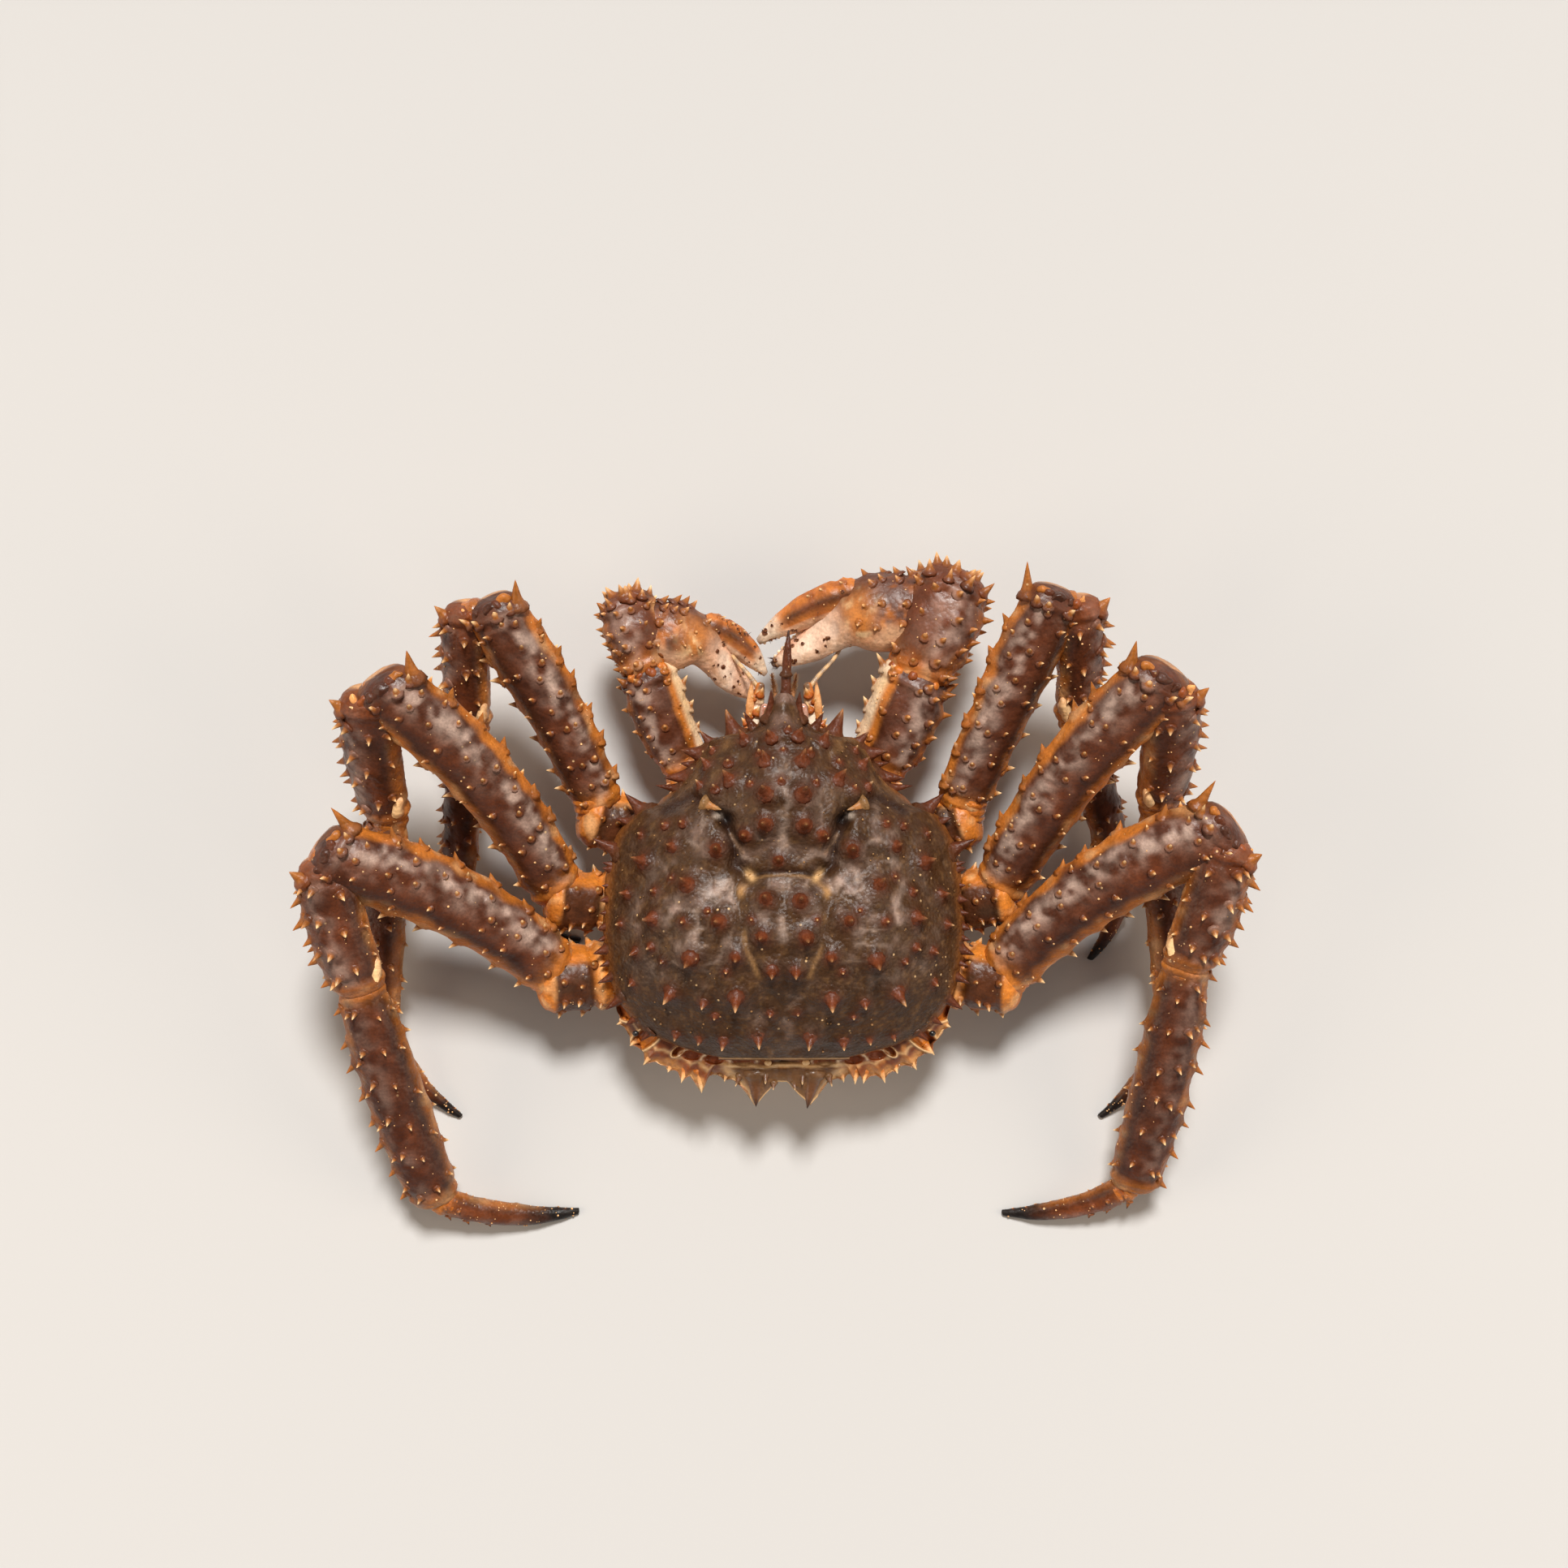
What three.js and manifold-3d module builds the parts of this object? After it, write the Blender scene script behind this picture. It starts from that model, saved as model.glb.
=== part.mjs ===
// Red king crab, life size, at rest on its belly with its legs folded and its claws before its face.
// Millimetres. +Z is up, the face looks along -Y, and the crab's left side is +X.
// The origin is on the floor, under the middle of the body.

import * as THREE from "three";
import { mergeVertices } from "three/addons/utils/BufferGeometryUtils.js";
import Module from "manifold-3d";

const wasm = await Module();
wasm.setup();

// Sizes of the body

const GAP = 0.3; // space kept between neighbouring pieces
const BELLY_TOP = 8; // thickness of the folded tail flap that the crab lies on
const SHELL_UNDER = 36; // height of the flat underside of the carapace

// Half width of the carapace, and heights of its midline, margin and underside, from front to back
const SHELL = {
  y: [
    -89, -84.5, -78, -74.5, -72, -66, -59.5, -50.5, -44, -41, -37.5, -33, -26,
    -18, -9, 2, 13, 24, 34, 43, 52, 59.5, 66, 69.5, 71,
  ],
  half: [
    2.8, 7.5, 10.5, 22, 30.5, 36, 40, 46, 53.5, 57, 66, 70.5, 74.5,
    77, 78.5, 79.5, 80.5, 80, 78, 75.5, 69.5, 62.5, 49, 36, 29,
  ],
  ridge: [
    66, 67, 69, 71, 73, 77, 80, 83.5, 85, 85, 85, 84.5, 83.5,
    82.5, 83, 86, 86.5, 85.5, 83, 79.5, 74.5, 69.5, 63.5, 60, 58,
  ],
  margin: [
    62, 60, 57, 53, 51, 50, 49.5, 49, 48.5, 48, 47.5, 47, 47,
    46.5, 46, 46, 46, 46, 46, 46.5, 47, 48, 49.5, 51, 52,
  ],
  under: [
    59, 56, 52, 45, 40, 36, 36, 36, 36, 36, 36, 36, 36,
    36, 36, 36, 36, 36, 36, 36, 36, 36, 36, 37, 38,
  ],
};
// Swellings of the carapace on both sides: x, y, radius across, radius along and height
const SWELLINGS = [
  [0, -42, 17, 20, 2.5],
  [33, -50, 9, 9, 2],
  [45, 8, 22, 30, 5],
  [0, 12, 13, 20, 2.5],
  [27, 34, 16, 20, 1.5],
];
// Grooves of the carapace: depth, half breadth and the line that they follow on the left side
const GROOVES = [
  { depth: 4.5, breadth: 4.5, line: [[52, -38], [40, -44], [25, -36], [21, -18], [10, -12]] },
  { depth: 2.5, breadth: 3.5, line: [[19, -4], [18, 10], [8, 42]] },
];
// Spines of the carapace on both sides: [x, y, length], and those on the midline
const SHELL_SPINES = [
  [8, -58, 8], [8, -44, 10], [8, -31, 10], [5.6, -69, 7], [22.5, -49.5, 9], [16.2, -26.5, 7], [16.4, -67, 7],
  [33, -57, 6], [7, 2, 9], [9.2, 17, 9], [5.2, 31.5, 7], [29.2, -20, 10], [60, -15, 10], [48.2, -21.5, 6],
  [41, -4, 9], [68, -1, 6], [56.3, 9.5, 9], [27.5, 10.7, 9], [40, 26.5, 10], [20.5, 26, 7], [48.5, 41, 10],
  [20.5, 43, 10], [34.8, 45.5, 5], [11.5, 60.5, 8], [26, 62.5, 6], [56, -2, 4], [43.5, 11, 4], [64.5, 24, 5],
];
const MIDLINE_SPINES = [[2, -15.5, 6]];
// Spines along the margin on both sides: root y and the x, y and z of the tip
const MARGIN_SPINES = [
  [-73, [27, -83.5, 57]], [-73.5, [18, -83.5, 58]], [-63, [45, -64.5, 54]], [-54, [52.6, -52, 53]],
  [-42, [70.5, -46, 51]], [-28, [84, -25.5, 51]], [-12, [85.5, -13, 49]], [1, [86.5, 1, 49]],
  [13, [87, 14.5, 49]], [23, [86, 26, 49]], [35, [84, 40, 49]], [45, [80, 51, 49]],
];
// Spines of the rostrum: root, tip and root radius
const ROSTRUM_SPINES = [
  [[-1, -82, 65], [-2, -116.5, 67], 3.6],
  [[0, -84, 69], [-1, -104, 79], 2.6],
  [[4.5, -82, 65], [6.6, -91.5, 72], 2],
  [[-4.5, -82, 65], [-7, -90.5, 72], 2],
];

// Joints of the walking legs, root to tip, with the bow of the merus and the size group of each
const LEGS = {
  left_1: {
    size: 0, bow: 3, root: [50, -26, 24], hip: [88, -36, 38], base: [82.5, -42, 39],
    knee: [127.5, -126, 82], bend: [137, -124.5, 79],
    wrist: [138.3, -78.4, 46], ankle: [148.2, -3.7, 12], tip: [94.2, 20.2, 0.9],
  },
  left_2: {
    size: 1, bow: 8, root: [54, 4, 24], hip: [104, 1, 38], base: [102, -4, 39],
    knee: [172.5, -90.5, 100], bend: [177.5, -85, 98],
    wrist: [175.4, -37.7, 52], ankle: [183.2, 57.3, 16], tip: [149.1, 100.9, 0.9],
  },
  left_3: {
    size: 2, bow: 7.5, root: [50, 32, 24], hip: [107, 38, 36], base: [102, 33, 38],
    knee: [199, -18.2, 85], bend: [198, -15, 85],
    wrist: [185.8, 39.2, 62], ankle: [158.3, 136.6, 17], tip: [94.9, 144.7, 0.9],
  },
  right_1: {
    size: 0, bow: 1.5, root: [-50, -26, 24], hip: [-84, -35, 38], base: [-79, -41, 39],
    knee: [-118, -130.5, 82], bend: [-127, -127, 80],
    wrist: [-128.6, -81.2, 46], ankle: [-152, -9, 13], tip: [-140.9, 28.4, 0.9],
  },
  right_2: {
    size: 1, bow: 6.5, root: [-54, 4, 24], hip: [-101, 0, 38], base: [-97, -5, 39],
    knee: [-162.5, -94.5, 100], bend: [-165, -88, 98],
    wrist: [-166, -43.1, 52], ankle: [-176.9, 55.4, 16], tip: [-145.8, 100.9, 0.9],
  },
  right_3: {
    size: 2, bow: 9, root: [-50, 32, 24], hip: [-103, 38, 36], base: [-98, 33, 38],
    knee: [-191.6, -29.1, 85], bend: [-190.5, -23, 85],
    wrist: [-176.9, 28.5, 62], ankle: [-158.7, 130.3, 17], tip: [-100.9, 145.4, 0.9],
  },
};
// Widths of the leg segments from their near to their far end, for the front, middle and rear legs
const LEG_WIDTHS = {
  hip: [[21, 24, 23], [22, 25, 24], [24, 28, 27]],
  merus: [[21, 23, 25, 26.5, 24], [24, 26, 28, 29.5, 27], [26, 28.5, 30, 32, 29]],
  carpus: [[19, 20, 19, 17], [23, 24, 23, 20], [24, 26, 25, 22]],
  propodus: [[15, 17, 17, 15.5, 14], [18, 21, 21, 19, 16], [20, 24, 25, 24.5, 21]],
  dactyl: [[11.5, 9.5, 8, 5.5, 3], [12.5, 10.5, 8.5, 6, 3], [14, 11.5, 10, 7.5, 3.2]],
};
const LEG_BOW = { hip: 0, carpus: 2, propodus: 1.5, dactyl: 5 };
const LEG_DEPTH = { hip: 0.95, merus: 0.8, carpus: 0.85, propodus: 0.78, dactyl: 0.85 };

// Rows of spines on a segment: angle round it, from 0 on the outer bend to 90 on top, then first
// and last place along it, number, first and last length, root radius and lean to the far end
const LEG_SPINES = {
  hip: [
    [60, 0.62, 0.8, 2, 4, 5, 1.9],
    [200, 0.72, 0.9, 2, 5, 6, 2.1],
  ],
  merus: [
    [5, 0.14, 0.8, 5, 5, 6.5, 2.4, 0.8],
    [8, 0.96, 0.96, 1, 15, 15, 3.4, 2.2],
    [50, 0.2, 0.9, 4, 4, 5.5, 1.9],
    [105, 0.2, 0.85, 3, 4, 4.5, 1.8],
    [175, 0.15, 0.92, 4, 4.5, 5.5, 1.8],
    [270, 0.4, 0.85, 2, 4, 5, 1.8],
  ],
  carpus: [
    [20, 0.03, 0.03, 1, 8, 8, 3.8, -1.6],
    [0, 0.2, 0.88, 3, 7.5, 7, 2.8],
    [50, 0.2, 0.85, 3, 6.5, 5, 2.3],
    [105, 0.4, 0.4, 1, 5, 4, 1.9],
    [310, 0.3, 0.8, 2, 5, 5, 2],
  ],
  propodus: [
    [0, 0.1, 0.9, 6, 6.5, 5, 2.1],
    [50, 0.15, 0.85, 3, 5, 4, 1.8],
    [180, 0.15, 0.85, 3, 4.5, 4, 1.7],
    [310, 0.3, 0.75, 2, 5, 4, 1.7],
  ],
  dactyl: [
    [15, 0.12, 0.35, 2, 3.5, 2.5, 1.3],
  ],
};

// Claw joints: hip root, merus base, elbow, wrist, heel and front of the palm, and the two fingers
const CLAWS = {
  left: {
    root: [36, -36, 21], base: [43, -58, 30], elbow: [60.5, -101, 45], wrist: [70.5, -131, 49],
    heel: [63, -119.5, 46], front: [37, -114.5, 42], fixedTip: [11.3, -90, 27], fingerRoot: [36, -121, 43],
    fingerTip: [8.4, -100.5, 30],
    widths: {
      hip: [18, 20, 21], merus: [21, 23.5, 25, 24], carpus: [20, 24, 25, 21], palm: [22, 28, 28.5, 22],
      finger: [13, 11.5, 8, 3],
    },
  },
  right: {
    root: [-36, -36, 21], base: [-40, -57, 30], elbow: [-59, -99, 45], wrist: [-75, -140, 49],
    heel: [-62, -128, 47], front: [-31, -127.5, 43], fixedTip: [4.7, -105, 30], fingerRoot: [-33, -134.5, 45],
    fingerTip: [11.3, -114.8, 34],
    widths: {
      hip: [20, 23, 24], merus: [25, 29, 31, 29], carpus: [27, 34, 36, 30], palm: [29, 33, 34, 28],
      finger: [18, 15, 10, 3.5],
    },
  },
};
const CLAW_SPINES = {
  merus: [
    [0, 0.35, 0.95, 3, 4.5, 6, 2.2],
    [90, 0.3, 0.9, 3, 4, 6, 2],
    [180, 0.35, 0.95, 3, 5, 7, 2.2],
  ],
  carpus: [
    [0, 0.15, 0.85, 3, 6, 6.5, 2.5],
    [60, 0.2, 0.85, 3, 6, 7, 2.5],
    [120, 0.3, 0.8, 2, 5, 5, 2.1],
  ],
  palm: [
    [10, 0.15, 0.75, 4, 5, 4, 2.1],
    [60, 0.2, 0.8, 3, 5, 4, 2],
    [115, 0.2, 0.7, 2, 4, 4, 1.7],
    [180, 0.4, 0.4, 1, 4, 4, 1.7],
  ],
};

// Colours and finish of each kind of piece

const LOOKS = {
  shell: new THREE.MeshStandardMaterial({ color: 0x5f503e, roughness: 0.4, metalness: 0 }),
  leg: new THREE.MeshStandardMaterial({ color: 0x5a3424, roughness: 0.4, metalness: 0 }),
  joint: new THREE.MeshStandardMaterial({ color: 0xb06a2a, roughness: 0.45, metalness: 0 }),
  tip: new THREE.MeshStandardMaterial({ color: 0x4a2b1c, roughness: 0.4, metalness: 0 }),
  pale: new THREE.MeshStandardMaterial({ color: 0xd8b585, roughness: 0.5, metalness: 0 }),
  eye: new THREE.MeshStandardMaterial({ color: 0x0d0c0e, roughness: 0.1, metalness: 0 }),
};

// Small helpers

const vec = ([x, y, z]) => new THREE.Vector3(x, y, z);
const radians = THREE.MathUtils.degToRad;

let seed = 20;
function random() {
  seed = (seed * 16807) % 2147483647;
  return seed / 2147483647;
}

// Value at place t of a row of evenly spaced values
function along(values, t) {
  const place = THREE.MathUtils.clamp(t, 0, 1) * (values.length - 1);
  const low = Math.min(Math.floor(place), values.length - 2);
  return THREE.MathUtils.lerp(values[low], values[low + 1], place - low);
}

// Value at x of a table of places and values
function tabled(places, values, x) {
  let low = 0;
  while (low < places.length - 2 && x > places[low + 1]) low += 1;
  const share = (x - places[low]) / (places[low + 1] - places[low]);
  return THREE.MathUtils.lerp(values[low], values[low + 1], THREE.MathUtils.clamp(share, 0, 1));
}

function solidFrom(geometry) {
  geometry.deleteAttribute("normal");
  geometry.deleteAttribute("uv");
  const merged = mergeVertices(geometry, 1e-4);
  const vertProperties = new Float32Array(merged.attributes.position.array);
  const triVerts = new Uint32Array(merged.index.array);
  return new wasm.Manifold(new wasm.Mesh({ numProp: 3, vertProperties, triVerts }));
}

// Closed surface through rings of equal count, each end closed by a fan to its middle
function loft(rings) {
  const count = rings[0].length;
  const points = rings.flat();
  const triangles = [];
  for (let i = 0; i < rings.length - 1; i += 1) {
    for (let j = 0; j < count; j += 1) {
      const a = i * count + j;
      const b = i * count + ((j + 1) % count);
      triangles.push([a, b, b + count], [a, b + count, a + count]);
    }
  }
  const last = (rings.length - 1) * count;
  for (const [start, turned] of [[0, true], [last, false]]) {
    const middle = new THREE.Vector3();
    for (let j = 0; j < count; j += 1) middle.add(points[start + j]);
    points.push(middle.divideScalar(count));
    for (let j = 0; j < count; j += 1) {
      const next = start + ((j + 1) % count);
      triangles.push(turned ? [start + j, points.length - 1, next] : [start + j, next, points.length - 1]);
    }
  }
  const volume = triangles.reduce((sum, [a, b, c]) => {
    return sum + points[a].dot(new THREE.Vector3().crossVectors(points[b], points[c]));
  }, 0);
  const ordered = volume < 0 ? triangles.map(([a, b, c]) => [a, c, b]) : triangles;
  const geometry = new THREE.BufferGeometry().setFromPoints(points);
  geometry.setIndex(ordered.flat());
  return solidFrom(geometry);
}

// Cone from a root on the surface to its tip, with its foot sunk below the surface
function spine(root, tip, radius, grow = 0, sides = 5, sink = 0.8) {
  const axis = new THREE.Vector3().subVectors(tip, root);
  const length = axis.length();
  axis.divideScalar(length);
  const depth = radius * sink + 0.6;
  const foot = radius * (1 + depth / length);
  const cone = new THREE.ConeGeometry(foot + grow * 1.2, length + depth + grow * 2, sides, 1);
  cone.rotateY(random() * Math.PI);
  cone.translate(0, (length - depth) / 2 + grow, 0);
  cone.applyQuaternion(new THREE.Quaternion().setFromUnitVectors(new THREE.Vector3(0, 1, 0), axis));
  cone.translate(root.x, root.y, root.z);
  return solidFrom(cone);
}

// Limb segments: a bowed axis with a frame of three directions, and a rounded section

class Segment {
  constructor({ start, end, inside, widths, depth, bow = 0, rings = 8, sides = 10, blunt = 0.72 }) {
    Object.assign(this, { start, end, widths, depth, bow, rings, sides, blunt });
    this.axis = new THREE.Vector3().subVectors(end, start);
    this.length = this.axis.length();
    this.axis.divideScalar(this.length);
    const middle = new THREE.Vector3().addVectors(start, end).multiplyScalar(0.5);
    const out = middle.clone().sub(inside);
    this.out = out.addScaledVector(this.axis, -out.dot(this.axis)).normalize();
    this.top = new THREE.Vector3().crossVectors(this.axis, this.out);
    if (this.top.z < 0) this.top.negate();
  }

  centre(t) {
    const point = new THREE.Vector3().lerpVectors(this.start, this.end, t);
    return point.addScaledVector(this.out, this.bow * 4 * t * (1 - t));
  }

  // Point on the surface at place t and angle a round the segment
  surface(t, a, grow = 0, shrink = 1) {
    const width = (along(this.widths, t) / 2) * shrink + grow;
    const thick = (along(this.widths, t) / 2) * this.depth * shrink + grow;
    const square = (value) => Math.sign(value) * Math.abs(value) ** 0.86;
    const point = this.centre(t);
    point.addScaledVector(this.out, square(Math.cos(a)) * width);
    return point.addScaledVector(this.top, square(Math.sin(a)) * thick);
  }

  body(grow = 0) {
    const rings = [];
    for (let i = 0; i <= this.rings; i += 1) {
      const t = 0.5 - 0.5 * Math.cos((Math.PI * i) / this.rings);
      const outer = i === 0 || i === this.rings;
      const shrink = outer ? this.blunt : 1;
      const ring = [];
      for (let j = 0; j < this.sides; j += 1) {
        const point = this.surface(t, (2 * Math.PI * j) / this.sides, grow, shrink);
        const reach = grow + (outer ? 0.2 : 0);
        if (outer) point.addScaledVector(this.axis, i === 0 ? -reach : reach);
        ring.push(point);
      }
      rings.push(ring);
    }
    return loft(rings);
  }

  // Spines in rows, each a little off its place, all leaning towards the far end
  spines(rows, grow = 0) {
    const cones = [];
    for (const [degrees, first, last, number, firstLength, lastLength, radius, lean = 0.45] of rows) {
      for (let i = 0; i < number; i += 1) {
        const share = number > 1 ? i / (number - 1) : 0;
        const t = THREE.MathUtils.lerp(first, last, share) + (random() - 0.5) * 0.04;
        const a = radians(degrees + (random() - 0.5) * 14);
        const length = THREE.MathUtils.lerp(firstLength, lastLength, share) * (0.9 + random() * 0.2);
        const root = this.surface(t, a);
        const away = new THREE.Vector3().subVectors(root, this.centre(t)).normalize();
        const tip = root.clone().addScaledVector(away.addScaledVector(this.axis, lean).normalize(), length);
        cones.push(spine(root, tip, radius, grow, radius < 2.05 ? 3 : radius < 2.9 ? 4 : 5));
      }
    }
    return cones;
  }
}

function union(solids) {
  return solids.reduce((whole, next) => whole.add(next));
}

// Nodes: each new piece is cut clear of the grown copies of the pieces before it

const crab = new THREE.Group();
const keepouts = [];

function touches(a, b) {
  return [0, 1, 2].every((k) => a.min[k] < b.max[k] && b.min[k] < a.max[k]);
}

function largest(solid) {
  return solid.decompose().reduce((best, next) => (next.volume() > best.volume() ? next : best));
}

function addNode(name, make, look) {
  const startSeed = seed;
  let solid = union(make(0));
  seed = startSeed;
  const keepout = union(make(GAP));
  for (const other of keepouts) {
    if (touches(other.boundingBox(), solid.boundingBox())) solid = solid.subtract(other);
  }
  keepouts.push(keepout);
  const mesh = largest(solid).getMesh();
  const geometry = new THREE.BufferGeometry();
  geometry.setAttribute("position", new THREE.BufferAttribute(new Float32Array(mesh.vertProperties), 3));
  geometry.setIndex(Array.from(mesh.triVerts));
  geometry.computeVertexNormals();
  const node = new THREE.Mesh(geometry, look);
  node.name = name;
  crab.add(node);
}

// Carapace

function nearLine(x, y, line) {
  let best = Infinity;
  for (let i = 0; i < line.length - 1; i += 1) {
    const [ax, ay] = line[i];
    const [dx, dy] = [line[i + 1][0] - ax, line[i + 1][1] - ay];
    const share = THREE.MathUtils.clamp(((x - ax) * dx + (y - ay) * dy) / (dx * dx + dy * dy), 0, 1);
    best = Math.min(best, Math.hypot(x - ax - dx * share, y - ay - dy * share));
  }
  return best;
}

function shellHeight(x, y) {
  const half = tabled(SHELL.y, SHELL.half, y);
  const ridge = tabled(SHELL.y, SHELL.ridge, y);
  const margin = tabled(SHELL.y, SHELL.margin, y);
  const u = Math.min(Math.abs(x) / half, 1);
  const inner = 1 - u ** 4;
  let z = margin + (ridge - margin) * (1 - u ** 2.3) ** 0.72;
  for (const [cx, cy, rx, ry, height] of SWELLINGS) {
    z += inner * height * Math.exp(-(((Math.abs(x) - cx) / rx) ** 2) - ((y - cy) / ry) ** 2);
  }
  for (const { depth, breadth, line } of GROOVES) {
    z -= inner * depth * Math.exp(-((nearLine(Math.abs(x), y, line) / breadth) ** 2));
  }
  return z;
}

function shellBody(grow) {
  const across = 8;
  return loft(SHELL.y.map((y, i) => {
    const half = SHELL.half[i];
    const margin = SHELL.margin[i];
    const ends = i === 0 ? -grow : i === SHELL.y.length - 1 ? grow : 0;
    const ring = [];
    for (let k = -across; k <= across; k += 1) {
      const u = Math.sin((Math.PI / 2) * (k / across));
      const z = shellHeight(u * half, y) + grow;
      ring.push(new THREE.Vector3(u * (half + grow), y + ends, Math.abs(k) === across ? margin : z));
    }
    for (const u of [0.84, 0.4, -0.4, -0.84]) {
      ring.push(new THREE.Vector3(u * (half + grow), y + ends, SHELL.under[i] - grow));
    }
    return ring;
  }));
}

function shellSpines(grow) {
  const cones = [];
  const both = [...SHELL_SPINES, ...SHELL_SPINES.map(([x, y, length]) => [-x, y, length]), ...MIDLINE_SPINES];
  for (const [x, y, length] of both) {
    const step = 2;
    const root = new THREE.Vector3(x, y, shellHeight(x, y));
    const slopeX = (shellHeight(x + step, y) - shellHeight(x - step, y)) / (2 * step);
    const slopeY = (shellHeight(x, y + step) - shellHeight(x, y - step)) / (2 * step);
    const away = new THREE.Vector3(-slopeX, -slopeY + y * 0.004, 1).normalize();
    const tip = root.clone().addScaledVector(away, length * (0.9 + random() * 0.2));
    cones.push(spine(root, tip, 1.2 + length * 0.17, grow, length > 6 ? 4 : 3));
  }
  for (const side of [1, -1]) {
    for (const [y, [tipX, tipY, tipZ]] of MARGIN_SPINES) {
      const half = tabled(SHELL.y, SHELL.half, y);
      const root = new THREE.Vector3(side * (half - 1.5), y, tabled(SHELL.y, SHELL.margin, y) + 1);
      cones.push(spine(root, new THREE.Vector3(side * tipX, tipY, tipZ), 2.4, grow, 4));
    }
  }
  for (const [root, tip, radius] of ROSTRUM_SPINES) cones.push(spine(vec(root), vec(tip), radius, grow, 6));
  return cones;
}

addNode("carapace", (grow) => [shellBody(grow), ...shellSpines(grow)], LOOKS.shell);

// Underside of the body, which carries the legs

const THORAX = {
  y: [-56, -50, -38, -20, 0, 20, 40, 54, 62],
  half: [16, 27, 38, 48, 54, 53, 46, 36, 24],
  low: [20, 14, 10, BELLY_TOP + GAP, BELLY_TOP + GAP, BELLY_TOP + GAP, BELLY_TOP + GAP, BELLY_TOP + GAP, 12],
};

function thoraxBody(grow) {
  return loft(THORAX.y.map((y, i) => {
    const ends = i === 0 ? -grow : i === THORAX.y.length - 1 ? grow : 0;
    const half = THORAX.half[i] + grow;
    const low = THORAX.low[i] - grow;
    const high = SHELL_UNDER - GAP + grow;
    const middle = (low + high) / 2;
    const near = [[1, high], [1.04, middle], [0.78, low], [0.3, low]];
    const far = near.map(([u, z]) => [-u, z]).reverse();
    return [...near, ...far].map(([u, z]) => new THREE.Vector3(u * half, y + ends, z));
  }));
}

addNode("thorax", (grow) => [thoraxBody(grow)], LOOKS.pale);

// Tail: the flap folded flat under the body, and the broad plates behind the carapace

const FLAP = {
  y: [-44, -41, -34, -20, 0, 20, 40, 55, 61],
  half: [5, 10, 17, 23, 28, 32, 34, 34, 31],
};

function flapBody(grow) {
  return loft(FLAP.y.map((y, i) => {
    const ends = i === 0 ? -grow : i === FLAP.y.length - 1 ? grow : 0;
    const half = FLAP.half[i] + grow;
    const near = [[0.86, -grow], [1, 2.5], [0.96, 6], [0.8, BELLY_TOP + grow]];
    const far = near.map(([u, z]) => [-u, z]).reverse();
    return [...near, ...far].map(([u, z]) => new THREE.Vector3(u * half, y + ends, z));
  }));
}

addNode("abdomen_flap", (grow) => [flapBody(grow)], LOOKS.pale);

// Plan of the tail plates from the left edge round the back, then how the plan narrows downwards:
// height, scale across and shift backwards
const TAIL_PLAN = [
  [77, 48], [75, 57], [70.5, 66], [62, 72.5], [52, 76], [42, 81], [30, 83], [18, 85], [8, 83],
];
const TAIL_LEVELS = [
  [48, 0.9, -4], [45, 0.97, -1.5], [40, 1, 0], [30, 0.98, 0], [20, 0.86, -1], [10, 0.68, -3], [3, 0.5, -9],
];
// Spines of the tail plates on both sides: root, tip and root radius
const TAIL_SPINES = [
  [[13, 79, 41], [12.2, 94.5, 44], 6], [[28, 81, 42], [30, 88, 43], 2.6], [[38, 79, 42], [41, 87, 43], 3.2],
  [[51, 74, 42], [55, 80.5, 43], 2.6], [[61, 70, 42], [65, 76, 43], 2.6], [[69, 64, 42], [74, 69, 43], 2.2],
  [[20, 83, 34], [22, 89, 30], 2.4], [[20, 79, 14], [22, 85, 12], 2.2], [[38, 79, 30], [42, 85, 28], 2.2],
];

function tailBody(grow) {
  return loft(TAIL_LEVELS.map(([z, scale, back], i) => {
    const ends = i === 0 ? grow : i === TAIL_LEVELS.length - 1 ? -grow : 0;
    const rear = TAIL_PLAN.map(([x, y]) => [x * scale + grow, y + back + grow]);
    const mirrored = rear.map(([x, y]) => [-x, y]).reverse();
    const front = [[-58, 48], [-20, 52], [20, 52], [58, 48]].map(([x, y]) => [x * scale, y - grow]);
    return [...rear, ...mirrored, ...front].map(([x, y]) => new THREE.Vector3(x, y, z + ends));
  }));
}

function tailSpines(grow) {
  const cones = [];
  for (const side of [1, -1]) {
    for (const [[rx, ry, rz], [tx, ty, tz], radius] of TAIL_SPINES) {
      const root = new THREE.Vector3(side * rx, ry, rz);
      cones.push(spine(root, new THREE.Vector3(side * tx, ty, tz), radius, grow, 4));
    }
  }
  return cones;
}

addNode("abdomen_plates", (grow) => [tailBody(grow), ...tailSpines(grow)], LOOKS.pale);

// Claws

const FACE = [0, -90, 30]; // the claws bend round this point

function clawSegment(start, end, inside, widths, depth, options) {
  return new Segment({ start: vec(start), end: vec(end), inside: vec(inside), widths, depth, ...options });
}

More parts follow.
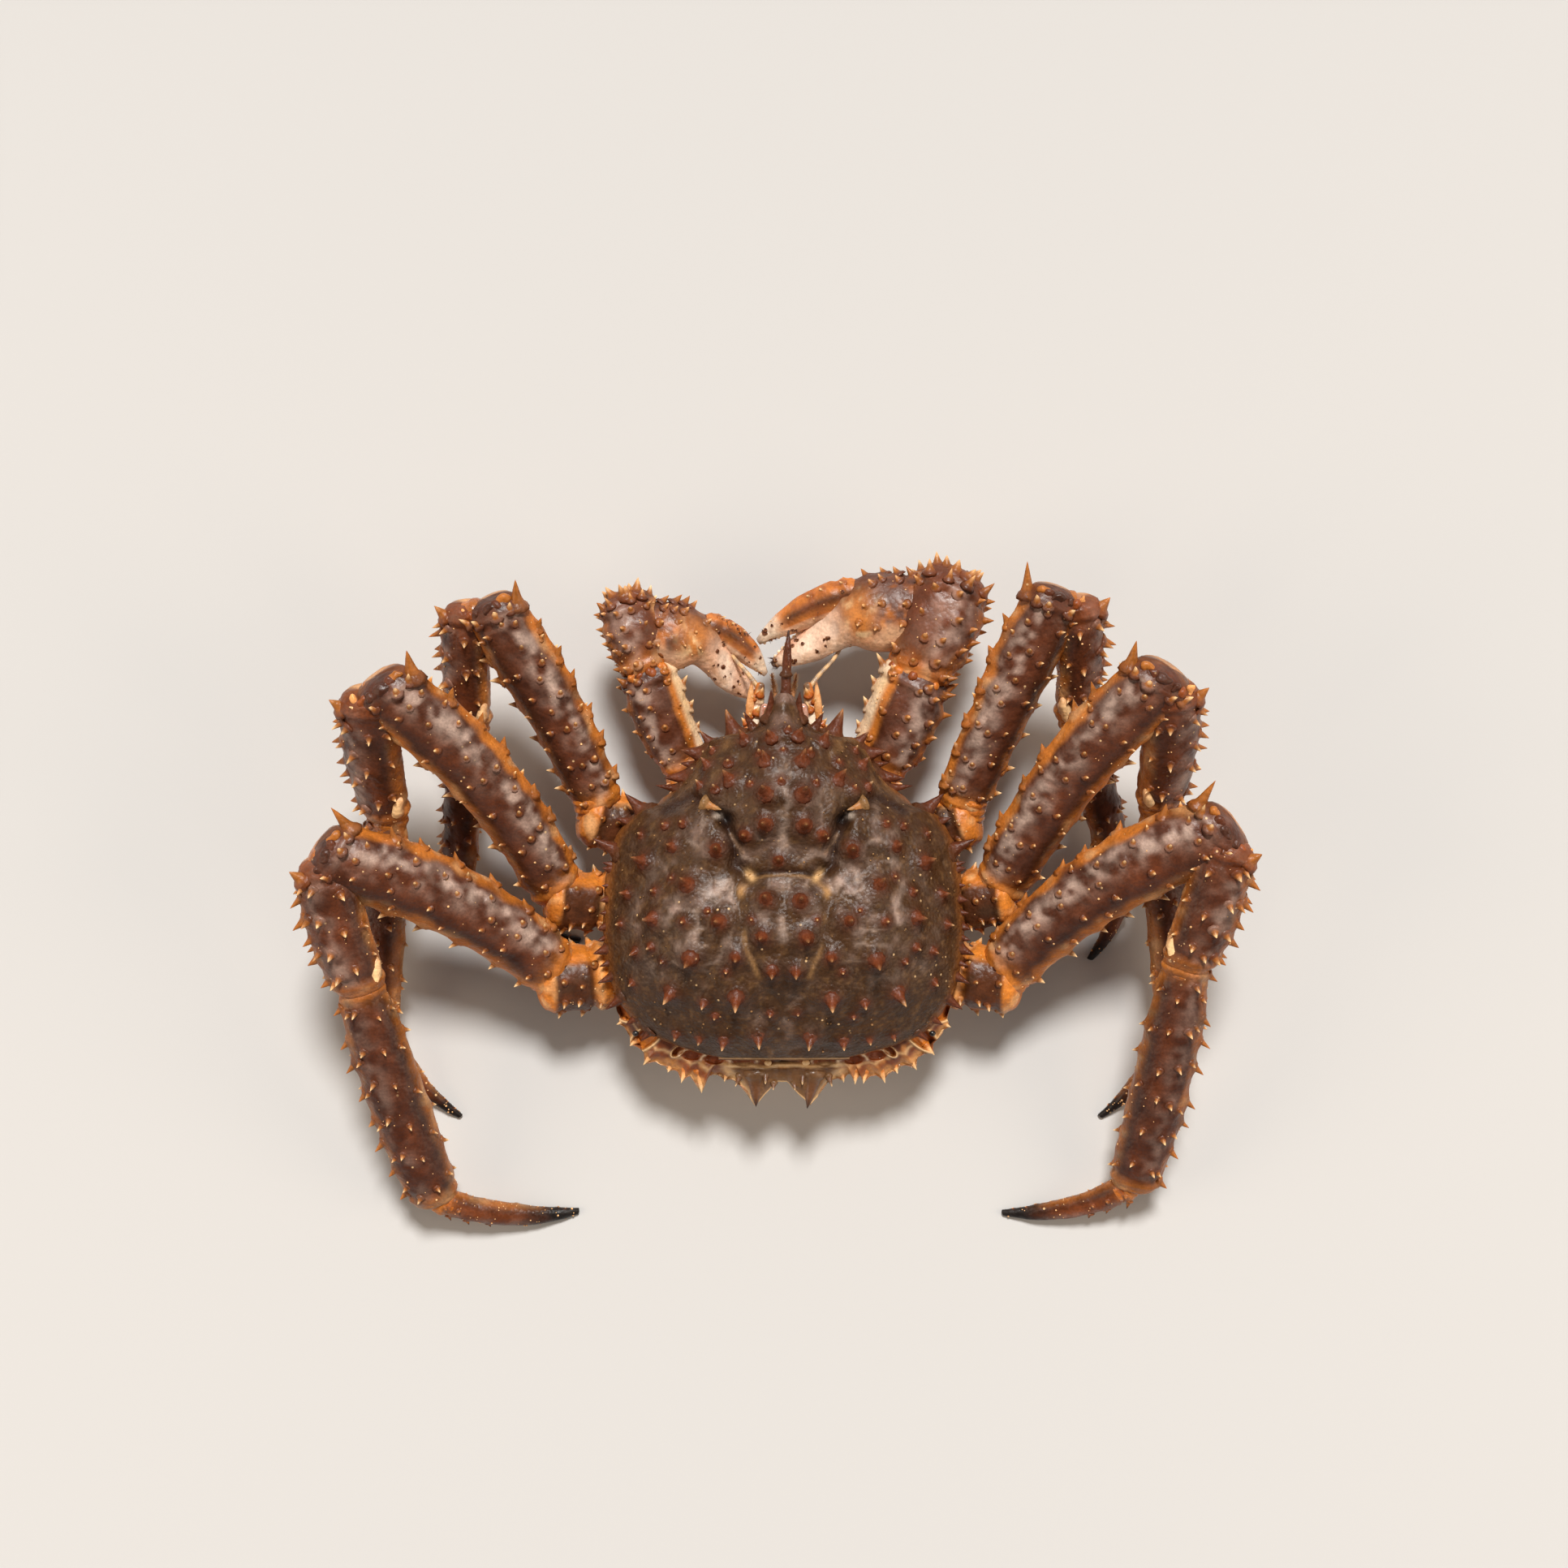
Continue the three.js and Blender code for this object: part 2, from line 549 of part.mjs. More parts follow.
for (const [side, claw] of Object.entries(CLAWS)) {
  const { root, base, elbow, wrist, heel, front, fixedTip, fingerRoot, fingerTip, widths } = claw;
  const stout = { rings: 5, blunt: 0.65 };
  const slim = { bow: 3, rings: 5, sides: 8 };
  const hip = clawSegment(root, base, FACE, widths.hip, 0.85, { rings: 4 });
  const merus = clawSegment(base, elbow, FACE, widths.merus, 0.8, { bow: 2, rings: 6 });
  const carpus = clawSegment(elbow, wrist, FACE, widths.carpus, 0.85, stout);
  const palm = clawSegment(heel, front, FACE, widths.palm, 0.72, { ...stout, bow: 1.5 });
  const fixed = clawSegment(front, fixedTip, fingerTip, widths.finger, 0.85, slim);
  const finger = clawSegment(fingerRoot, fingerTip, fixedTip, widths.finger, 0.85, slim);
  addNode(`claw_${side}_hip`, (grow) => [hip.body(grow)], LOOKS.joint);
  addNode(`claw_${side}_merus`, (grow) => {
    return [merus.body(grow), ...merus.spines(CLAW_SPINES.merus, grow)];
  }, LOOKS.leg);
  addNode(`claw_${side}_carpus`, (grow) => {
    return [carpus.body(grow), ...carpus.spines(CLAW_SPINES.carpus, grow)];
  }, LOOKS.leg);
  addNode(`claw_${side}_palm`, (grow) => {
    return [palm.body(grow), fixed.body(grow), ...palm.spines(CLAW_SPINES.palm, grow)];
  }, LOOKS.leg);
  addNode(`claw_${side}_finger`, (grow) => [finger.body(grow)], LOOKS.joint);
}

// Face: eyes on short stalks, feelers and outer mouthparts

for (const [side, sign] of [["left", 1], ["right", -1]]) {
  const at = ([x, y, z]) => new THREE.Vector3(sign * x, y, z);
  const inside = at([0, -60, 40]);
  const usual = { inside, depth: 0.9, rings: 3, sides: 6 };
  const part = (start, end, widths, options = {}) => {
    return new Segment({ ...usual, start: at(start), end: at(end), widths, ...options });
  };
  const stalk = part([8, -70, 45], [9.5, -80, 50], [5, 5, 5.5]);
  const cornea = part([9.5, -78, 49], [10.5, -84.5, 52], [5.5, 7.2, 7, 4.5], { blunt: 0.6 });
  addNode(`eye_${side}`, (grow) => [stalk.body(grow), cornea.body(grow)], LOOKS.eye);
  const peduncle = part([15, -68, 40], [10.5, -94, 46], [9, 8, 7, 5.5], { rings: 4 });
  const whip = part([10.5, -92, 46], [24, -109, 38], [2.4, 2, 2], { rings: 2, sides: 4 });
  const whipEnd = part([24, -108.5, 38], [38, -140, 14], [2, 1.6, 1.2], { rings: 3, sides: 4, bow: 3 });
  addNode(`antenna_${side}`, (grow) => {
    return [peduncle.body(grow), whip.body(grow), whipEnd.body(grow)];
  }, LOOKS.pale);
  const antennule = part([3.5, -70, 44], [4, -90, 44], [4.5, 3.5, 2.5], { rings: 2, sides: 4 });
  const brush = part([4, -89.5, 44], [5.5, -99, 51], [2.4, 2.6, 1.2], { rings: 2, sides: 4 });
  addNode(`antennule_${side}`, (grow) => [antennule.body(grow), brush.body(grow)], LOOKS.pale);
  const mouthArm = part([14, -48, 22], [12, -76, 27], [13, 12, 10], { rings: 4 });
  const mouthHand = part([12, -75, 27], [5, -86, 15], [9, 7, 4.5], { rings: 2 });
  addNode(`maxilliped_${side}`, (grow) => [mouthArm.body(grow), mouthHand.body(grow)], LOOKS.pale);
}

// Walking legs

const FLOOR_SPAN = 600; // block under the floor that flattens whatever reaches it
function floorBlock() {
  const block = new THREE.BoxGeometry(FLOOR_SPAN, FLOOR_SPAN, FLOOR_SPAN / 10);
  block.translate(0, 0, -FLOOR_SPAN / 20);
  return solidFrom(block);
}

for (const [name, leg] of Object.entries(LEGS)) {
  const [root, hip, base, knee, bend] = [leg.root, leg.hip, leg.base, leg.knee, leg.bend].map(vec);
  const [wrist, ankle, tip] = [leg.wrist, leg.ankle, leg.tip].map(vec);
  const merusMiddle = new THREE.Vector3().lerpVectors(base, knee, 0.5);
  const courses = {
    hip: { start: root, end: hip, inside: knee, rings: 3, sides: 8 },
    merus: { start: base, end: knee, inside: ankle, rings: 6 },
    carpus: { start: bend, end: wrist, inside: merusMiddle, rings: 5 },
    propodus: { start: wrist, end: ankle, inside: merusMiddle, rings: 5, sides: 8 },
    dactyl: { start: ankle, end: tip, inside: wrist, rings: 5, sides: 7 },
  };
  for (const [part, course] of Object.entries(courses)) {
    const segment = new Segment({
      ...course, widths: LEG_WIDTHS[part][leg.size], depth: LEG_DEPTH[part], bow: LEG_BOW[part] ?? leg.bow,
    });
    const look = part === "hip" ? LOOKS.joint : part === "dactyl" ? LOOKS.tip : LOOKS.leg;
    addNode(`leg_${name}_${part}`, (grow) => {
      const pieces = [segment.body(grow), ...segment.spines(LEG_SPINES[part], grow)];
      return part === "dactyl" ? [union(pieces).subtract(floorBlock())] : pieces;
    }, look);
  }
}

export default crab;
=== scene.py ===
"""Red king crab: its looks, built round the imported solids. Lengths are millimetres until a mesh is made."""

import itertools
import math

import bpy
import numpy as np
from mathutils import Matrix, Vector


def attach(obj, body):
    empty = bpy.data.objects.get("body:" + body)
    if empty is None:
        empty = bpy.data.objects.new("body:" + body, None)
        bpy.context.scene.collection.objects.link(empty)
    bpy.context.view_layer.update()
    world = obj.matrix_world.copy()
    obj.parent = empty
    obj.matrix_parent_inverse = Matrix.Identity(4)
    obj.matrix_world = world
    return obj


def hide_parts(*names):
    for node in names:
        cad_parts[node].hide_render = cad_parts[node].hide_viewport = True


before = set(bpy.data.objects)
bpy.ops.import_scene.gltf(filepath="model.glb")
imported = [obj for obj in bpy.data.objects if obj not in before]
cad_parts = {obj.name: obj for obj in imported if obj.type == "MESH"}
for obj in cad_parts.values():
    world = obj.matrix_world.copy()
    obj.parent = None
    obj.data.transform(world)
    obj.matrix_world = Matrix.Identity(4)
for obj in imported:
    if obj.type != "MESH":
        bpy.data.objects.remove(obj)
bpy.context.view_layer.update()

MM = 0.001
FLOOR_GAP = 0.05
rng = np.random.default_rng(20)

# Sizes of the body, the same as in the solids

# Sections of the carapace from front to back: place, half width, heights of the ridge, margin and underside
SHELL_Y = [-89, -84.5, -78, -74.5, -72.4, -70.6, -66, -59.5, -50.5, -44, -41, -37.5, -33, -26,
           -18, -9, 2, 13, 24, 34, 43, 52, 59.5, 66, 69.5, 71]
SHELL_HALF = [3.2, 7.8, 10.6, 13.6, 18.5, 29, 36, 40, 46, 53.5, 57, 66, 70.5, 74.5,
              77, 78.5, 79.5, 80.5, 80, 78, 75.5, 69.5, 62.5, 49, 36, 29]
SHELL_RIDGE = [66, 67, 69, 71, 72.4, 74, 77, 80, 83.5, 85, 85, 85, 84.5, 83.5,
               82.5, 83, 86, 86.5, 85.5, 83, 79.5, 74.5, 69.5, 63.5, 60, 58]
SHELL_MARGIN = [62, 60, 57, 54.5, 52.6, 51, 50, 49.5, 49, 48.5, 48, 47.5, 47, 47,
                46.5, 46, 46, 46, 46, 46, 46.5, 47, 48, 49.5, 51, 52]
SHELL_UNDER = [59, 56, 52, 47, 43, 39, 36, 36, 36, 36, 36, 36, 36, 36,
               36, 36, 36, 36, 36, 36, 36, 36, 36, 36, 37, 38]
# Swellings and hollows of the carapace: middle, half sizes and height
SWELLINGS = [
    (0, -42, 17, 20, 2.5),
    (33, -50, 9, 9, 2),
    (45, 8, 22, 30, 5),
    (0, 12, 13, 20, 2.5),
    (27, 34, 16, 20, 1.5),
    (38, -22, 12, 10, 1.6),
    (60, -14, 12, 12, 1.2),
    (0, -78, 7, 12, 3),
    (15.5, -75.5, 5.5, 5, -5),
    (33, -58, 9, 8, 1.4),
    (52, -40, 7, 7, 1.2),
]
# Grooves of the carapace: depth, half breadth and the line on the left side
GROOVES = [
    (4.4, 3.2, [(52, -38), (40, -44), (27, -36), (22, -24), (21, -14), (14, -9)]),
    (1.3, 1.9, [(14, -9), (7, -10.4), (0, -10.8)]),
    (1.1, 2.2, [(17, -9), (21, -3), (18, 12), (13, 27), (8, 41), (0, 48)]),
    (1.3, 3.4, [(21, -3), (29, 3), (36, 20), (34, 36)]),
    (1.7, 2.6, [(27, -36), (25, -46), (22, -56), (17, -67)]),
    (1.2, 2.6, [(40, -44), (46, -52), (44, -60)]),
    (1.2, 3.0, [(8, 44), (10, 56), (6, 66)]),
]
# Pits: middle, size and depth
PITS = [(25, -33.5, 3.2, 4.5), (20.5, -7.5, 2.6, 1.6)]
# Spines of the carapace on both sides: x, y and length
SHELL_SPINES = [
    (8, -58, 8.5), (8, -44, 10), (8, -31, 10), (5.6, -69, 7), (22.5, -49.5, 9), (16.2, -26.5, 7),
    (16.4, -67, 7), (33, -57, 6), (7, 2, 9), (9.2, 17, 9), (5.2, 31.5, 7), (29.2, -20, 10),
    (60, -15, 10), (48.2, -21.5, 6), (41, -4, 10), (68, -1, 6), (56.3, 9.5, 9), (27.5, 10.7, 9),
    (40, 26.5, 10), (20.5, 26, 7), (48.5, 41, 10), (20.5, 43, 10), (34.8, 45.5, 5), (11.5, 60.5, 8),
    (26, 62.5, 6), (56, -2, 4), (43.5, 11, 4), (64.5, 24, 5), (10.5, -61.5, 4.5), (29.8, -46.5, 4),
    (36, -48, 4.5), (14, -49, 2.5), (57.5, 22, 4), (71, 12, 4.5), (37.2, 62, 4), (47.6, 60.5, 4),
    (25, 32, 2.6), (52, 28, 3), (30, 52, 2.6), (66, 38, 4), (52, -31, 3), (62, -27, 3.4), (24, -58, 3.6),
    (31, -64, 3.4), (44, -32, 3), (6, 50.5, 2.6), (14, 10, 2.4), (48, -8, 2.6), (33, 6, 2.4),
]
# Spines near the middle line, on one side only
MIDLINE_SPINES = [(2, -15.5, 6), (0, -63.5, 2.4), (1, -50, 3), (-1.5, -72, 3)]
# Spines along the margin on both sides: root y, root radius and the tip
MARGIN_SPINES = [
    (-71.5, 4.2, (26.4, -83, 57)), (-63, 3.8, (45.6, -65, 54)), (-53, 3.8, (53.4, -53, 53)),
    (-38, 3.4, (70.8, -46, 51)),
    (-20.5, 3.4, (84.4, -25.8, 51)), (-12, 2.4, (81, -12.6, 50)), (1, 2.4, (82, 1.6, 50)),
    (13, 2.4, (83, 14.5, 50)),
    (23, 2.8, (84.5, 25.5, 50)), (35, 2.4, (82.5, 38.5, 50)), (45, 2.6, (79, 50, 50)),
]
SMALL_MARGIN_SPINES = [
    (-73.5, 2.4, (17.5, -81.5, 59)), (-68, 2.4, (37.5, -73.5, 54)), (-58, 2.4, (46.5, -59.5, 52)),
    (-48, 2.2, (57, -49, 51)),
    (-33, 2.2, (74.6, -35, 50)), (-14, 1.8, (80.5, -15.5, 50)), (-5, 1.8, (80.8, -5, 50)),
    (7, 1.8, (82, 7.5, 50)),
    (18, 1.8, (82.6, 19.5, 50)), (29, 1.8, (82, 31, 50)), (54, 2, (70.5, 57, 50)),
    (60, 1.8, (63.5, 64, 50)),
]
# Spines of the rostrum: root, tip and root radius
ROSTRUM_SPINES = [
    ((-0.9, -98, 67), (-1.3, -109.5, 71.5), 1.5),
    ((5.6, -79, 64.5), (5.7, -90.5, 70.5), 2.7),
    ((-5.8, -79, 64.5), (-7.2, -89.5, 70.5), 2.7),
]
# The long front spine: points of its middle line and widths along it
ROSTRUM_TIP = [(-0.4, -80, 63.5), (-0.8, -92, 65.4), (-1.4, -104, 66.2), (-2, -116.5, 66.8)]
ROSTRUM_TIP_WIDTHS = [8.6, 6.0, 4.9, 4.4, 3.4, 0.7]
# Tan spines that point into the pit of the neck groove, and cream knobs at the corners of the heart region
GROOVE_SPINE = ((33.0, -39.8), (27.0, -37.4), 2.3)
CORNER = (14.6, -9.2)
# Cream lines round the heart region and along the neck groove, on the left side
HEART_RIDGE = [(14, -7), (19, -2), (17.6, 5), (16.6, 22), (11, 34)]
HEART_ARC = [(14, -7.5), (8, -9), (0, -9.6)]
NECK_LINE = [(23, -27), (18, -19)]

# Middle lines of the walking legs, with which of three sizes each has and how far its merus bows
LEGS = {
    "left_1": dict(
        size=0, bow=3, root=(50, -26, 24), hip=(88, -36, 38), base=(82.5, -42, 39), knee=(127.5, -126, 82),
        bend=(137, -124.5, 79), wrist=(138.3, -78.4, 46), ankle=(148.2, -3.7, 12), tip=(94.2, 20.2, 0.9)),
    "left_2": dict(
        size=1, bow=8, root=(54, 4, 24), hip=(104, 1, 38), base=(102, -4, 39), knee=(172.5, -90.5, 100),
        bend=(177.5, -85, 98), wrist=(175.4, -37.7, 52), ankle=(183.2, 57.3, 16), tip=(149.1, 100.9, 0.9)),
    "left_3": dict(
        size=2, bow=7.5, root=(50, 32, 24), hip=(107, 38, 36), base=(102, 33, 38), knee=(199, -18.2, 85),
        bend=(198, -15, 85), wrist=(185.8, 39.2, 62), ankle=(158.3, 136.6, 17), tip=(94.9, 144.7, 0.9)),
    "right_1": dict(
        size=0, bow=1.5, root=(-50, -26, 24), hip=(-84, -35, 38), base=(-79, -41, 39),
        knee=(-118, -130.5, 82), bend=(-127, -127, 80),
        wrist=(-128.6, -81.2, 46), ankle=(-152, -9, 13), tip=(-140.9, 28.4, 0.9)),
    "right_2": dict(
        size=1, bow=6.5, root=(-54, 4, 24), hip=(-101, 0, 38), base=(-97, -5, 39), knee=(-162.5, -94.5, 100),
        bend=(-165, -88, 98), wrist=(-166, -43.1, 52), ankle=(-176.9, 55.4, 16), tip=(-145.8, 100.9, 0.9)),
    "right_3": dict(
        size=2, bow=9, root=(-50, 32, 24), hip=(-103, 38, 36), base=(-98, 33, 38),
        knee=(-191.6, -29.1, 85), bend=(-190.5, -23, 85), wrist=(-176.9, 28.5, 62),
        ankle=(-158.7, 130.3, 17), tip=(-100.9, 145.4, 0.9)),
}
# Widths along each segment, for the three sizes of leg
LEG_WIDTHS = {
    "hip": [(21, 24, 23), (22, 25, 24), (24, 28, 27)],
    "merus": [(21, 23, 25, 26.5, 24), (24, 26, 28, 29.5, 27), (26, 28.5, 30, 32, 29)],
    "carpus": [(19, 20, 19, 17), (23, 24, 23, 20), (24, 26, 25, 22)],
    "propodus": [(15, 17, 17, 15.5, 14), (18, 21, 21, 19, 16), (20, 24, 25, 24.5, 21)],
    "dactyl": [(11.5, 9.5, 8, 5.5, 3), (12.5, 10.5, 8.5, 6, 3), (14, 11.5, 10, 7.5, 3.2)],
}
LEG_BOW = {"hip": 0, "carpus": 2, "propodus": 1.5, "dactyl": 5}
LEG_DEPTH = {"hip": 0.95, "merus": 0.8, "carpus": 0.85, "propodus": 0.78, "dactyl": 0.85}

# Rows of spines on a segment: angle round it, from 0 on the outer bend to 90 on top, then first
# and last place along it, number, first and last length, root radius and lean to the far end
LEG_ROWS = {
    "hip": [
        (60, 0.62, 0.86, 3, 3.4, 4, 1.4, 0.4), (200, 0.66, 0.9, 3, 4.5, 6.5, 2.0, 0.4),
        (100, 0.72, 0.9, 2, 2.6, 3.4, 1.3, 0.4), (140, 0.66, 0.86, 2, 2.6, 3.4, 1.3, 0.4),
        (20, 0.7, 0.9, 2, 4, 4, 1.8, 0.4),
    ],
    "merus": [
        (3, 0.1, 0.82, 6, 5, 7, 2.4, 0.9), (8, 0.965, 0.965, 1, 14, 14, 3.4, 2.2),
        (24, 0.15, 0.8, 3, 2.8, 3.4, 1.3, 0.5),
        (46, 0.08, 0.9, 6, 2.8, 3.6, 1.35, 0.6), (76, 0.1, 0.93, 7, 2.8, 3.6, 1.35, 0.6),
        (106, 0.06, 0.9, 6, 2.6, 3.4, 1.3, 0.6), (138, 0.12, 0.9, 5, 2, 3, 1.2, 0.5),
        (176, 0.1, 0.95, 7, 5, 6.2, 2.1, 0.5), (205, 0.2, 0.9, 4, 3, 4, 1.5, 0.4),
        (270, 0.2, 0.9, 4, 3.2, 4.2, 1.6, 0.4), (320, 0.2, 0.9, 4, 3, 4, 1.6, 0.4),
        (38, 0.97, 0.97, 1, 5, 5, 2, 1.2), (72, 0.975, 0.975, 1, 3.6, 3.6, 2, 1.2),
        (112, 0.97, 0.97, 1, 4, 4, 2, 1.2),
        (150, 0.975, 0.975, 1, 6, 6, 2.2, 1.6), (186, 0.96, 0.96, 1, 5, 5, 2, 1.2),
    ],
    "carpus": [
        (20, 0.05, 0.05, 1, 7, 7, 3.2, -1.2), (0, 0.2, 0.9, 5, 7, 6, 2.3, 0.4),
        (28, 0.12, 0.88, 4, 5.5, 4.5, 1.9, 0.4),
        (58, 0.15, 0.86, 4, 5, 4.5, 1.9, 0.4), (96, 0.2, 0.8, 3, 4, 4, 1.7, 0.4),
        (135, 0.2, 0.75, 3, 3, 3, 1.4, 0.3),
        (335, 0.2, 0.85, 4, 5, 5, 1.9, 0.4), (305, 0.25, 0.8, 3, 4.5, 5, 1.8, 0.4),
        (250, 0.3, 0.8, 2, 4, 4, 1.7, 0.4),
    ],
    "propodus": [
        (0, 0.06, 0.93, 8, 6, 5, 1.9, 0.5), (30, 0.1, 0.9, 6, 3.4, 3, 1.4, 0.4),
        (58, 0.08, 0.92, 6, 4, 3.4, 1.5, 0.4),
        (95, 0.12, 0.9, 6, 3, 3, 1.3, 0.4), (135, 0.1, 0.9, 5, 3, 3, 1.3, 0.4),
        (178, 0.1, 0.92, 6, 4, 3.6, 1.5, 0.4),
        (325, 0.1, 0.9, 6, 4, 3.6, 1.5, 0.4), (285, 0.2, 0.85, 4, 3.4, 3, 1.4, 0.4),
        (225, 0.2, 0.85, 4, 3, 3, 1.4, 0.4),
    ],
    "dactyl": [
        (15, 0.08, 0.4, 3, 3.2, 2.2, 1.2, 0.6), (180, 0.2, 0.9, 12, 1.4, 0.9, 0.5, 0.5),
        (80, 0.08, 0.3, 3, 2.2, 1.4, 1.0, 0.4),
    ],
}

CLAWS = {
    "left": dict(
        root=(36, -36, 21), base=(43, -58, 30), elbow=(60.5, -101, 45), wrist=(70.5, -131, 49),
        heel=(63, -119.5, 46), front=(37, -114.5, 42), fixed_tip=(11.3, -90, 27),
        finger_root=(36, -121, 43), finger_tip=(8.4, -100.5, 30),
        hip=(18, 20, 21), merus=(21, 23.5, 25, 24), carpus=(20, 24, 25, 21), palm=(22, 28, 28.5, 22),
        finger=(14, 13, 10, 3)),
    "right": dict(
        root=(-36, -36, 21), base=(-40, -57, 30), elbow=(-59, -99, 45), wrist=(-75, -140, 49),
        heel=(-62, -128, 47), front=(-31, -127.5, 43), fixed_tip=(4.7, -105, 30),
        finger_root=(-33, -134.5, 45), finger_tip=(11.3, -114.8, 34),
        hip=(20, 23, 24), merus=(25, 29, 31, 29), carpus=(27, 34, 36, 30), palm=(29, 33, 34, 28),
        finger=(17.5, 15.5, 11.5, 3.5)),
}
CLAW_ROWS = {
    "merus": [
        (0, 0.3, 0.95, 4, 4, 6, 2.2, 0.5), (40, 0.2, 0.92, 4, 2.6, 3.6, 1.6, 0.4),
        (80, 0.25, 0.9, 4, 3, 4.4, 1.7, 0.4),
        (125, 0.3, 0.9, 3, 2.6, 3.4, 1.5, 0.4), (172, 0.35, 0.97, 4, 4.5, 8, 2.2, 0.8),
        (300, 0.3, 0.9, 3, 3, 4, 1.6, 0.4),
        (5, 0.98, 0.98, 1, 6, 6, 2.4, 1.4), (60, 0.98, 0.98, 1, 4, 4, 1.9, 1.2),
        (120, 0.98, 0.98, 1, 4, 4, 1.9, 1.2),
    ],
    "carpus": [
        (0, 0.1, 0.9, 5, 6, 6.5, 2.3, 0.4), (30, 0.1, 0.9, 4, 4, 5, 1.9, 0.4),
        (62, 0.15, 0.88, 4, 4.4, 5, 2, 0.4),
        (95, 0.12, 0.88, 4, 3.2, 4, 1.7, 0.4), (130, 0.2, 0.86, 3, 3.6, 4.4, 1.8, 0.4),
        (165, 0.3, 0.9, 3, 4, 5, 1.9, 0.4),
        (330, 0.15, 0.85, 4, 4.5, 5, 2, 0.4), (10, 0.99, 0.99, 1, 7, 7, 2.5, 1.6),
        (50, 1, 1, 1, 6, 6, 2.2, 2.2),
        (88, 1, 1, 1, 5, 5, 2, 2.2), (130, 1, 1, 1, 5.5, 5.5, 2.1, 2), (175, 0.98, 0.98, 1, 6, 6, 2.2, 1.4),
        (330, 1, 1, 1, 5, 5, 2, 2),
    ],
    "palm": [
        (12, 0.06, 0.4, 5, 5, 4.4, 2, 0.5), (45, 0.1, 0.38, 4, 3.4, 3, 1.6, 0.4),
        (80, 0.08, 0.36, 3, 3, 2.6, 1.5, 0.4),
        (112, 0.12, 0.4, 3, 2.4, 2.2, 1.4, 0.4),
    ],
}


# Colours, written as they look on a screen

def paint(red, green, blue):
    shares = [level / 255 for level in (red, green, blue)]
    return np.array([v / 12.92 if v < 11 / 255 else ((v + 0.055) / 1.055) ** 2.4 for v in shares])


def mix(a, b, share):
    share = np.asarray(share)[..., None]
    return a * (1 - share) + b * share


def layered(colour, *layers):
    """A colour with others laid over it in turn, each with its share."""
    for tone, share in layers:
        colour = mix(colour, tone, share)
    return colour


OLIVE = paint(72, 46, 24)
OLIVE_DARK = paint(42, 25, 12)
# Lilac, mostly the colour of the painted highlights and sheens
LILAC = paint(172, 143, 130)
BROWN = paint(78, 39, 21)
DARK_BROWN = paint(38, 19, 12)
RED_BROWN = paint(92, 44, 23)
AMBER = paint(206, 124, 44)
ORANGE = paint(160, 78, 24)
CREAM = paint(232, 194, 142)
TAN = paint(184, 138, 86)
BLACK = paint(22, 15, 13)
WHITE = paint(242, 226, 204)
FLESH = paint(226, 180, 150)
ROSY = paint(222, 178, 152)
PINK = paint(168, 104, 84)
DARK_PINK = paint(110, 52, 38)
GREY = paint(120, 104, 96)
RUST = mix(BROWN, ORANGE, 0.3)
RUST_LIGHT = mix(BROWN, ORANGE, 0.4)
PALE_TIP = mix(CREAM, AMBER, 0.1)
CLAW_TIP = mix(AMBER, CREAM, 0.5)


# Numbers over space: steps, bells, clouds and curves

def step(low, high, value):
    share = np.clip((value - low) / (high - low), 0, 1)
    return share * share * (3 - 2 * share)


def bell(value, breadth):
    return np.exp(-((value / breadth) ** 2))


def wrapped(angle):
    return np.angle(np.exp(1j * angle))


def noise(points, size, seed=0):
    """Smooth random values from -1 to 1 over space, in cells of a size."""
    place = points / size + 311.7
    low = np.floor(place).astype(np.int64)
    part = place - low
    part = part * part * (3 - 2 * part)
    total = np.zeros(points.shape[:-1])
    for corner in itertools.product((0, 1), repeat=3):
        cell = low + np.array(corner)
        mixed = cell[..., 0] * 73856093 ^ cell[..., 1] * 19349663 ^ cell[..., 2] * 83492791
        mixed = mixed ^ (seed + 1) * 2654435761
        mixed = (mixed ^ (mixed >> 13)) * 1274126177 & 0xFFFFFFFF
        value = ((mixed ^ (mixed >> 16)) & 0xFFFF) / 32767.5 - 1
        total += value * np.prod(np.where(corner, part, 1 - part), axis=-1)
    return total


def cloud_of(points, size, seed=0):
    """Smooth random values from 0 to 1."""
    return noise(points, size, seed) * 0.5 + 0.5


def flat_noise(x, y, size, seed):
    return noise(np.stack([x, y, 0 * x], -1), size, seed)


def curve(places, values, x):
    """Value at x of a smooth line through a table."""
    places, values = np.asarray(places, float), np.asarray(values, float)
    slopes = np.gradient(values, places)
    low = np.clip(np.searchsorted(places, x) - 1, 0, len(places) - 2)
    width = places[low + 1] - places[low]
    s = np.clip((x - places[low]) / width, 0, 1)
    keep = (1 + 2 * s) * (1 - s) ** 2 * values[low] + s * s * (3 - 2 * s) * values[low + 1]
    return keep + width * (s * (1 - s) ** 2 * slopes[low] - s * s * (1 - s) * slopes[low + 1])


def unit(vectors):
    return vectors / np.maximum(np.linalg.norm(vectors, axis=-1, keepdims=True), 1e-9)


def squarish(a, across=0.86, up=0.86):
    """Cosine and sine of an angle, drawn towards a square."""
    side, lift = np.cos(a), np.sin(a)
    return np.sign(side) * np.abs(side) ** across, np.sign(lift) * np.abs(lift) ** up


def grid_normals(grid, outward):
    """Normals of a grid whose second direction closes on itself, on the side that outward says."""
    along = np.gradient(grid, axis=0)
    around = np.roll(grid, -1, axis=1) - np.roll(grid, 1, axis=1)
    normal = unit(np.cross(along, around))
    side = np.sign(np.sum(normal * outward, axis=-1, keepdims=True))
    return normal * np.where(side == 0, 1, side)


def facing_out(points, faces, centre=0.0):
    """Faces of a closed shape round a centre, turned to face outwards."""
    a, b, c = (points[faces[:, k]] - centre for k in range(3))
    return faces[:, ::-1] if np.sum(a * np.cross(b, c)) < 0 else faces


# Pieces, gathered shell by shell

